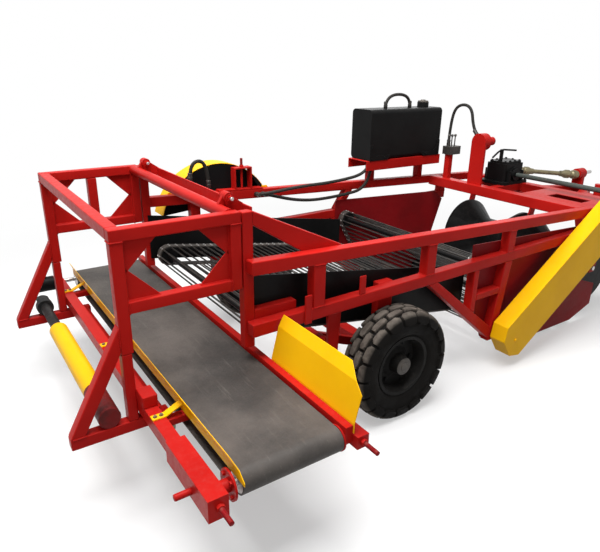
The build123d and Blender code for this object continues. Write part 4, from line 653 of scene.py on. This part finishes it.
# hoses: routes in metres, held at both ends; a crimped sleeve stands at each end
hose = {"radius": 0.014, "sides": 14, "up": (0.31, 0.21, 0.93), "sleeveLong": 0.060, "sleeveRadius": 0.0185,
        "railLift": 0.045, "railTop": 1.322}
sleeveRows = ((0, 0), (0.9, 0), (1, 0.06), (1, 0.5), (0.86, 0.54),
              (0.86, 0.60), (1, 0.64), (1, 0.95), (0.8, 1.0), (0, 1.0))
tankTop, valveTop = 1.780, 1.410
drumSeat = pumpDrum["radius"] * np.sin(pi / 4)
drumY, drumZ = gearboxAt["y"], pumpDrum["z"]
railHoses = ((1.640, 0.730, 1.172, 2.800), (1.700, 0.762, 1.027, 2.860))      # start x, y, lowest z, end x
hoseRoutes = {
    "tankHose": [(x, railMiddle, z) for x, z in (
        (3.058, tankTop), (3.058, 1.840), (3.1355, 1.900),
        (3.2905, 1.900), (3.368, 1.840), (3.368, tankTop))],
    "braceHose": [(x, postMiddle, z) for x, z in (
        (1.053, braceTop(1.041)), (1.053, 1.453), (1.203, 1.453), (1.203, braceTop(1.191)))],
    "valveHose": [(3.790, y, z) for y, z in (
        (0.676, valveTop), (0.676, 1.650), (0.616, 1.810), (0.440, 1.810),
        (drumY + 2 * drumSeat, drumZ + 2 * drumSeat), (drumY + drumSeat, drumZ + drumSeat))],
}
for count, (startX, y, low, endX) in enumerate(railHoses):
    third = (endX - startX) / 3
    startZ = upperTop(startX) - railTall / 2
    hoseRoutes[f"railHose{count}"] = [
        (startX, frameHalf, startZ), (startX, y, startZ), (startX + third, y, low),
        (endX - third, y, low), (endX, y, low + hose["railLift"]), (endX, y, hose["railTop"])]


def makeHoses():
    sleeve, quads = turned(sleeveRows, 20)
    size = np.array([hose["sleeveRadius"], hose["sleeveRadius"], hose["sleeveLong"]])
    tubes, ends, ways = [], [], []
    for route in hoseRoutes.values():
        path = hoseLine(np.array(route) + home)
        tubes.append(swept(path, ringSection(hose["radius"], hose["sides"]), hose["up"]))
        ends += [path[0], path[-1]]
        ways += [path[1] - path[0], path[-2] - path[-1]]
    piece = putPiece("hydraulicHoses", joined(tubes), "main_frame", looks["hose_rubber"], 60)
    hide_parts("hoses")
    sleeves = scatter((sleeve * size, quads), axesFor(ways), np.array(ends))
    putPiece("hoseSleeves", sleeves, "main_frame", looks["rod_steel"])


# count places evenly round a circle square to axis
def ringPlaces(centre, radius, count, axis, start=0.0):
    u, v, _ = axesFor([axis])[0]
    a = start + np.arange(count)[:, None] * 2 * pi / count
    return np.asarray(centre) + radius * (np.cos(a) * u + np.sin(a) * v)


# places along the four edges of a level rectangle, nLong by nWide of them
def rectPlaces(x, y, z, long, wide, nLong=4, nWide=3):
    i, j = np.meshgrid(np.linspace(-0.5, 0.5, nLong), np.linspace(-0.5, 0.5, nWide), indexing="ij")
    edge = (np.abs(i) > 0.49) | (np.abs(j) > 0.49)
    return np.stack([x + long * i[edge], y + wide * j[edge], np.full(edge.sum(), z)], 1)


# chain case, from the web's driven shaft up to the cross shaft: one bolt past each on the near face
chainCase = {"low": webs["digging_web"]["shafts"][2], "high": (gearboxAt["x"], crossShaftZ), "nearY": -1.010,
             "past": 0.06, "bolt": 0.011}


def boltCase():
    low, high = np.array(chainCase["low"]), np.array(chainCase["high"])
    past = chainCase["past"] * (high - low) / np.linalg.norm(high - low)
    places = inSpace(np.stack([low - past, high + past]), chainCase["nearY"])
    putBolts("caseBolts", "main_frame", "yellow_paint", chainCase["bolt"], places, [(0, -1, 0)])


wheelNuts = {"count": 6, "circle": 0.132, "set": 0.010, "radius": 0.013}
sideOf = {"right": -1, "left": 1}


def boltWheels():
    for name, side in sideOf.items():
        seat = np.array(joints[f"wheel_{name}_spin"]["pos_m"]) - home + [0, -side * wheelNuts["set"], 0]
        places = ringPlaces(seat, wheelNuts["circle"], wheelNuts["count"], (0, side, 0))
        putBolts(f"wheelNuts_{name}", f"wheel_{name}", "black_paint", wheelNuts["radius"], places,
                 [(0, side, 0)])


def boltGearbox():
    g = gearboxAt
    inset = 2 * g["boltIn"]
    flange = rectPlaces(g["x"], g["y"], g["flangeTop"], g["flange"][0] - inset, g["flange"][1] - inset)
    cover = rectPlaces(g["x"], g["y"], g["coverTop"], g["cover"][0] - inset, g["cover"][1] - inset)
    putBolts("gearboxBolts", "main_frame", "black_paint", g["bolt"], np.concatenate([flange, cover]),
             [(0, 0, 1)])
    drumFront = (pumpDrum["front"], drumY, drumZ)
    places = ringPlaces(drumFront, pumpDrum["circle"], pumpDrum["count"], (1, 0, 0))
    putBolts("pumpBolts", "main_frame", "bright_steel", pumpDrum["bolt"], places, [(1, 0, 0)])


# gantry pivots: a nut and a bright pin tip on both faces of each clevis
pivot = {"x": 0.665, "z": 1.505, "y": 0.620, "reach": 0.043, "nut": 0.017,
         "tip": ((0, 0), (0.010, 0), (0.010, 0.021), (0.008, 0.024), (0, 0.024))}


def boltPivots():
    faces = [(side, out) for side in (-1, 1) for out in (-1, 1)]
    ends = [(pivot["x"], side * pivot["y"] + out * pivot["reach"], pivot["z"]) for side, out in faces]
    ways = [(0, out, 0) for _, out in faces]
    putBolts("pivotNuts", "main_frame", "red_paint", pivot["nut"], ends, ways)
    tips = scatter(turned(pivot["tip"], 20), axesFor(ways), np.array(ends) + home)
    putPiece("pivotTips", tips, "main_frame", looks["bright_steel"])


guardBolts = {"barsY": (-1.000, -0.150, 0.820), "x": (0.068, 0.098), "z": 0.603, "radius": 0.0085}
endDisc = {"x": 0.170, "circle": 0.050, "count": 4, "bolt": 0.010}
deflector = {"x": 0.776, "fromY": -1.56, "toY": -0.93, "z": 0.625, "count": 5, "bolt": 0.008}


def boltConveyor():
    body = "conveyor_frame"
    heads = [(x, y, guardBolts["z"]) for y in guardBolts["barsY"] for x in guardBolts["x"]]
    putBolts("guardBolts", body, "zinc_plate", guardBolts["radius"], heads, [(0, 0, 1)])
    centre = (endDisc["x"], beltEnd, beltAxis)
    disc = ringPlaces(centre, endDisc["circle"], endDisc["count"], (-1, 0, 0), pi / 4)
    putBolts("discBolts", body, "red_paint", endDisc["bolt"], disc, [(-1, 0, 0)])
    across = np.linspace(deflector["fromY"], deflector["toY"], deflector["count"])
    sheet = [(deflector["x"], y, deflector["z"]) for y in across]
    putBolts("deflectorBolts", body, "zinc_plate", deflector["bolt"], sheet, [(1, 0, 0)])


# share: two bolts behind each point, on the sloping upper face
sharePlate = {"rear": (3.715, 0.120), "tip": (4.010, 0.038), "points": 6, "half": 0.792, "thick": 0.012,
              "boltAt": 0.07, "bolt": 0.012}


def boltShare():
    rear, tip = np.array(sharePlate["rear"]), np.array(sharePlate["tip"])
    slope = (tip - rear) / np.linalg.norm(tip - rear)
    face = rear + sharePlate["boltAt"] * slope + sharePlate["thick"] * np.array([-slope[1], slope[0]])
    edge = (np.arange(2 * sharePlate["points"]) + 0.5) / sharePlate["points"] - 1
    places = [(face[0], sharePlate["half"] * e, face[1]) for e in edge]
    putBolts("shareBolts", "main_frame", "bright_steel", sharePlate["bolt"], places,
             [(-slope[1], 0, slope[0])])


# drive hood tabs stand on its rim, and the tank's bolts on its cradle's inner face
hood = {"x": 1.340, "z": 0.905, "rim": 0.500, "tabDegrees": (30, 146), "outerY": 0.882, "bolt": 0.011}
tankCradle = {"y": 0.694, "lowX": (2.800, 2.960, 3.500, 3.660), "lowZ": 1.351,
              "highX": (2.800, 3.660), "highZ": 1.450, "bolt": 0.009}


def boltHoodAndTank():
    turns = np.radians(hood["tabDegrees"])
    tabs = [(hood["x"] + hood["rim"] * np.cos(t), hood["outerY"], hood["z"] + hood["rim"] * np.sin(t))
            for t in turns]
    putBolts("hoodBolts", "main_frame", "zinc_plate", hood["bolt"], tabs, [(0, 1, 0)])
    low = [(x, tankCradle["y"], tankCradle["lowZ"]) for x in tankCradle["lowX"]]
    high = [(x, tankCradle["y"], tankCradle["highZ"]) for x in tankCradle["highX"]]
    putBolts("tankBolts", "main_frame", "black_paint", tankCradle["bolt"], low + high, [(0, -1, 0)])


# turned pieces: profiles as (radius, height), in metres or in shares of the sizes beside them
def putTurned(name, rows, sides, at, way, body, look):
    shape = scatter(turned(rows, sides), axesFor([way]), np.array([at], float) + home)
    putPiece(name, shape, body, look)


# drive shaft yokes: barrel turned about the shaft's line at both ends
driveShaft = {"rear": (4.445, gearboxAt["y"], crossShaftZ), "front": (4.970, 0.0, 1.120),
              "radius": 0.043, "long": 0.150}
yokeRows = ((0, -0.35), (0.62, -0.35), (0.86, -0.28), (1, -0.10), (1, 0.12), (0.80, 0.20),
            (0.80, 0.30), (1.0, 0.36), (1.0, 0.62), (0.72, 0.80), (0.66, 1.0), (0, 1.0))


def makeYokes():
    rear, front = np.array(driveShaft["rear"]), np.array(driveShaft["front"])
    size = np.array([driveShaft["radius"], driveShaft["radius"], driveShaft["long"]])
    barrel, quads = turned(yokeRows, 28)
    ways = axesFor([front - rear, rear - front])
    ends = scatter((barrel * size, quads), ways, np.stack([rear, front]) + home)
    putPiece("shaftYokes", ends, "main_frame", looks["zinc_plate"])


tankCap = {"at": (3.545, railMiddle, 1.823), "radius": 0.050, "tall": 0.016, "ribs": 28, "ribShare": 0.025}


# ribbed cap: the rim's radius waves with the angle, r (1 + ribShare cos(ribs a))
def makeTankCap():
    r, h = tankCap["radius"], tankCap["tall"]
    rows = [(0, 0), (r, 0), (r, 0.7 * h), (0.92 * r, h), (0.5 * r, h), (0.42 * r, 1.5 * h), (0, 1.5 * h)]
    points, quads = turned(rows, 4 * tankCap["ribs"])
    turn = np.arctan2(points[:, 1], points[:, 0]) * tankCap["ribs"]
    onRim = np.hypot(points[:, 0], points[:, 1]) > 0.95 * r
    wave = 1 + tankCap["ribShare"] * np.cos(turn) * onRim
    points = points * np.stack([wave, wave, 0 * wave + 1], 1) + home + tankCap["at"]
    putPiece("tankCapTop", (points, quads), "main_frame", capLook)


rollerFlange = {"x": 0.7215, "radius": 0.0635, "thick": 0.0085}
hubCap = {"out": 0.080, "rows": ((0, 0), (0.057, 0), (0.057, 0.004), (0.049, 0.008), (0.031, 0.009),
                                 (0.028, 0.013), (0, 0.013))}
beamBarrel = {"at": (0.120, -0.905, 0.470), "radius": 0.043, "long": 0.070}
channelPin = {"at": (0.042, -1.465, 0.535), "radius": 0.015, "long": 0.075}


def makeTurnings():
    makeYokes()
    makeTankCap()
    conveyorBody, red = "conveyor_frame", looks["red_paint"]
    r, t = rollerFlange["radius"], rollerFlange["thick"]
    rows = [(0, 0), (r, 0), (r, t), (0, t)]
    at = (rollerFlange["x"], beltEnd, beltAxis)
    putTurned("rollerFlange", rows, 40, at, (1, 0, 0), conveyorBody, red)
    for name, side in sideOf.items():
        at = np.array(joints[f"wheel_{name}_spin"]["pos_m"]) - home + [0, side * hubCap["out"], 0]
        putTurned(f"hubCap_{name}", hubCap["rows"], 48, at, (0, side, 0), f"wheel_{name}", hubLook)
    r, t = beamBarrel["radius"], beamBarrel["long"]
    rows = [(0, 0), (0.55 * r, 0), (0.8 * r, 0.06 * t), (r, 0.22 * t), (r, 0.74 * t), (0.8 * r, 0.92 * t),
            (0.5 * r, t), (0, t)]
    putTurned("beamBarrel", rows, 32, beamBarrel["at"], (1, 0, 0), conveyorBody, looks["zinc_plate"])
    r, t = channelPin["radius"], channelPin["long"]
    rows = [(0, 0), (r, 0), (r, t - 0.4 * r), (0.85 * r, t - 0.1 * r), (0.5 * r, t), (0, t)]
    putTurned("channelPin", rows, 20, channelPin["at"], (-1, 0, 0), conveyorBody, red)


# socket block with rounded edges at the foot of the gantry's near post
postSocket = {"low": (0.045, -0.905, 0.5955), "size": (0.075, 0.104, 0.064), "round": 0.006}


# point(i) = low + corner(i) * size for the eight corners of a unit cube, then a live bevel
def makeSocket():
    corners = np.stack(np.meshgrid((0, 1), (0, 1), (0, 1), indexing="ij"), -1).reshape(-1, 3)
    quads = np.array([(0, 1, 3, 2), (4, 6, 7, 5), (0, 4, 5, 1), (2, 3, 7, 6), (0, 2, 6, 4), (1, 5, 7, 3)])
    points = np.array(postSocket["low"]) + corners * np.array(postSocket["size"]) + home
    piece = putPiece("postSocket", (points, quads), "conveyor_frame", looks["red_paint"])
    bevel = piece.modifiers.new("round", "BEVEL")
    bevel.width = postSocket["round"]
    bevel.segments = 2
    piece.modifiers.new("shade", "WEIGHTED_NORMAL").keep_sharp = False


# screws: the belt's two tension rods and the web adjuster, each with one lock nut
screws = {
    "beltScrewRear": {"body": "conveyor_frame",
                      "from": (0.090, -1.630, beltAxis), "to": (0.090, -1.730, beltAxis)},
    "beltScrewFront": {"body": "conveyor_frame",
                       "from": (0.805, -1.630, 0.563), "to": (0.805, -1.730, 0.563)},
    "adjusterScrew": {"body": "main_frame",
                      "from": (1.530, railMiddle, 1.367), "to": (1.530, railMiddle, 1.436)},
}
screwSize = {"radius": 0.0102, "pitch": 0.0025, "depth": 0.0012, "point": 0.003, "sides": 20,
             "nut": 0.019, "nutLong": 0.016}
nutRows = ((0, 0), (0.85, 0), (1, 0.12, 1), (1, 0.88, 1), (0.85, 1), (0, 1))


# screw thread: r(s, a) = radius + depth * tooth(s / pitch - a / turn), tooth a triangle wave
def threadShape(start, end):
    start, end = np.add(start, home), np.add(end, home)
    pitch, sides = screwSize["pitch"], screwSize["sides"]
    length = np.linalg.norm(end - start)
    u, v, w = axesFor([end - start])[0]
    s = np.linspace(0, length, int(length / pitch * 6))[:, None]
    a = np.arange(sides) * 2 * pi / sides
    r = screwSize["radius"] + screwSize["depth"] * np.abs(((s / pitch - a / (2 * pi)) % 1) * 2 - 1)
    points = start + s[..., None] * w + (r * np.cos(a))[..., None] * u + (r * np.sin(a))[..., None] * v
    foot = np.broadcast_to(start, (1, sides, 3))
    tip = np.broadcast_to(end + screwSize["point"] * w, (1, sides, 3))
    rows = np.concatenate([foot, points, tip])
    return rows.reshape(-1, 3), gridQuads(len(rows), sides, closeCols=True)


def makeScrews():
    nut, quads = turned(nutRows)
    size = np.array([screwSize["nut"], screwSize["nut"], screwSize["nutLong"]])
    for name, screw in screws.items():
        start, end = np.array(screw["from"]), np.array(screw["to"])
        putPiece(name, threadShape(start, end), screw["body"], looks["dark_red_paint"], 60)
        nuts = scatter((nut * size, quads), axesFor([end - start]), start[None] + home)
        putPiece(f"{name}Nuts", nuts, screw["body"], looks["red_paint"])


# welded seams of the frame: uprights between the rails, rail ends on the rear posts, deck beams
seamAt = {"stands": {-1: (1.060, 1.950, 2.775, 3.870), 1: (1.060, 3.870)}, "standLong": 0.080,
          "postX": 0.720, "postZ": (0.800, 0.863, 1.140, 1.210), "postSeam": 0.03,
          "beamsX": (3.700, 3.820, 4.300, 4.420), "beamSeam": 0.088}


def frameSeams():
    seams = []
    for side, stands in seamAt["stands"].items():
        for x in stands:
            ends = (x, x + seamAt["standLong"])
            lower = [(at, lowerLow(at) + railTall) for at in ends]
            upper = [(at, upperTop(at) - railTall) for at in ends]
            for y in (frameHalf, railOut):
                for edge in (lower, upper):
                    seams.append([(at, side * y, z) for at, z in edge])
            for levels in zip(lower, upper):
                for at, z in levels:
                    seams.append([(at, side * y, z) for y in (frameHalf, railOut)])
        for z in seamAt["postZ"]:
            low = (seamAt["postX"], side * frameHalf, z - seamAt["postSeam"])
            seams.append((low, (seamAt["postX"], side * frameHalf, z)))
        for x in seamAt["beamsX"]:
            low = (x, side * frameHalf, upperTop(x) - seamAt["beamSeam"])
            seams.append((low, (x, side * frameHalf, upperTop(x))))
    return seams


# welded seams of the gantry: rails on posts, the bar between posts, gussets, feet and legs
gantry = {"postsX": (0.000, 0.593), "tube": 0.060, "railLow": 1.406, "barLow": 1.052, "barTop": 1.112,
          "gussetY": (0.765, 0.775), "gussetLong": 0.165, "footX": (-0.270, -0.205), "footZ": 0.480,
          "legZ": (0.890, 0.995)}


def gantrySeams():
    g = gantry
    rearX, frontX = g["postsX"]
    posts = [(x, x + g["tube"]) for x in g["postsX"]]
    facing = ((rearX + g["tube"], 1), (frontX, -1))      # inner faces of the posts, and the way between them
    bar = (g["barLow"], g["barTop"])
    seams = []
    for side in (-1, 1):
        postY = [side * postIn, side * frameHalf]
        for post in posts:
            for x in post:
                seams.append([(x, y, g["railLow"]) for y in postY])
        for post in posts:
            for y in postY:
                seams.append([(x, y, g["railLow"]) for x in post])
        for x, _ in facing:
            for z in bar:
                seams.append([(x, y, z) for y in postY])
            for y in postY:
                seams.append([(x, y, z) for z in bar])
        for y in g["gussetY"]:
            for x, way in facing:
                for z, up in ((g["barTop"], 1), (g["railLow"], -1)):
                    corner = (x, side * y, z)
                    seams.append((corner, (x + way * g["gussetLong"], side * y, z)))
                    seams.append((corner, (x, side * y, z + up * g["gussetLong"])))
        for y in postY:
            seams.append([(x, y, g["footZ"]) for x in g["footX"]])
            seams.append([(rearX, y, z) for z in g["legZ"]])
    return seams


makeCamera()
makeHoses()
makeSky()
makeFloor()
makeLamps()
finishNodes()
print("camera, hoses, stage and finishes ready")
makeTyres()
makeWebs()
print("tyres and webs made")
boltCase()
boltWheels()
boltGearbox()
boltPivots()
boltConveyor()
boltShare()
boltHoodAndTank()
makeScrews()
makeTurnings()
makeSocket()
putWelds("frameWelds", "main_frame", frameSeams())
putWelds("gantryWelds", "conveyor_frame", gantrySeams())
print("bolts, screws, turned pieces and welds made")

bpy.context.view_layer.update()
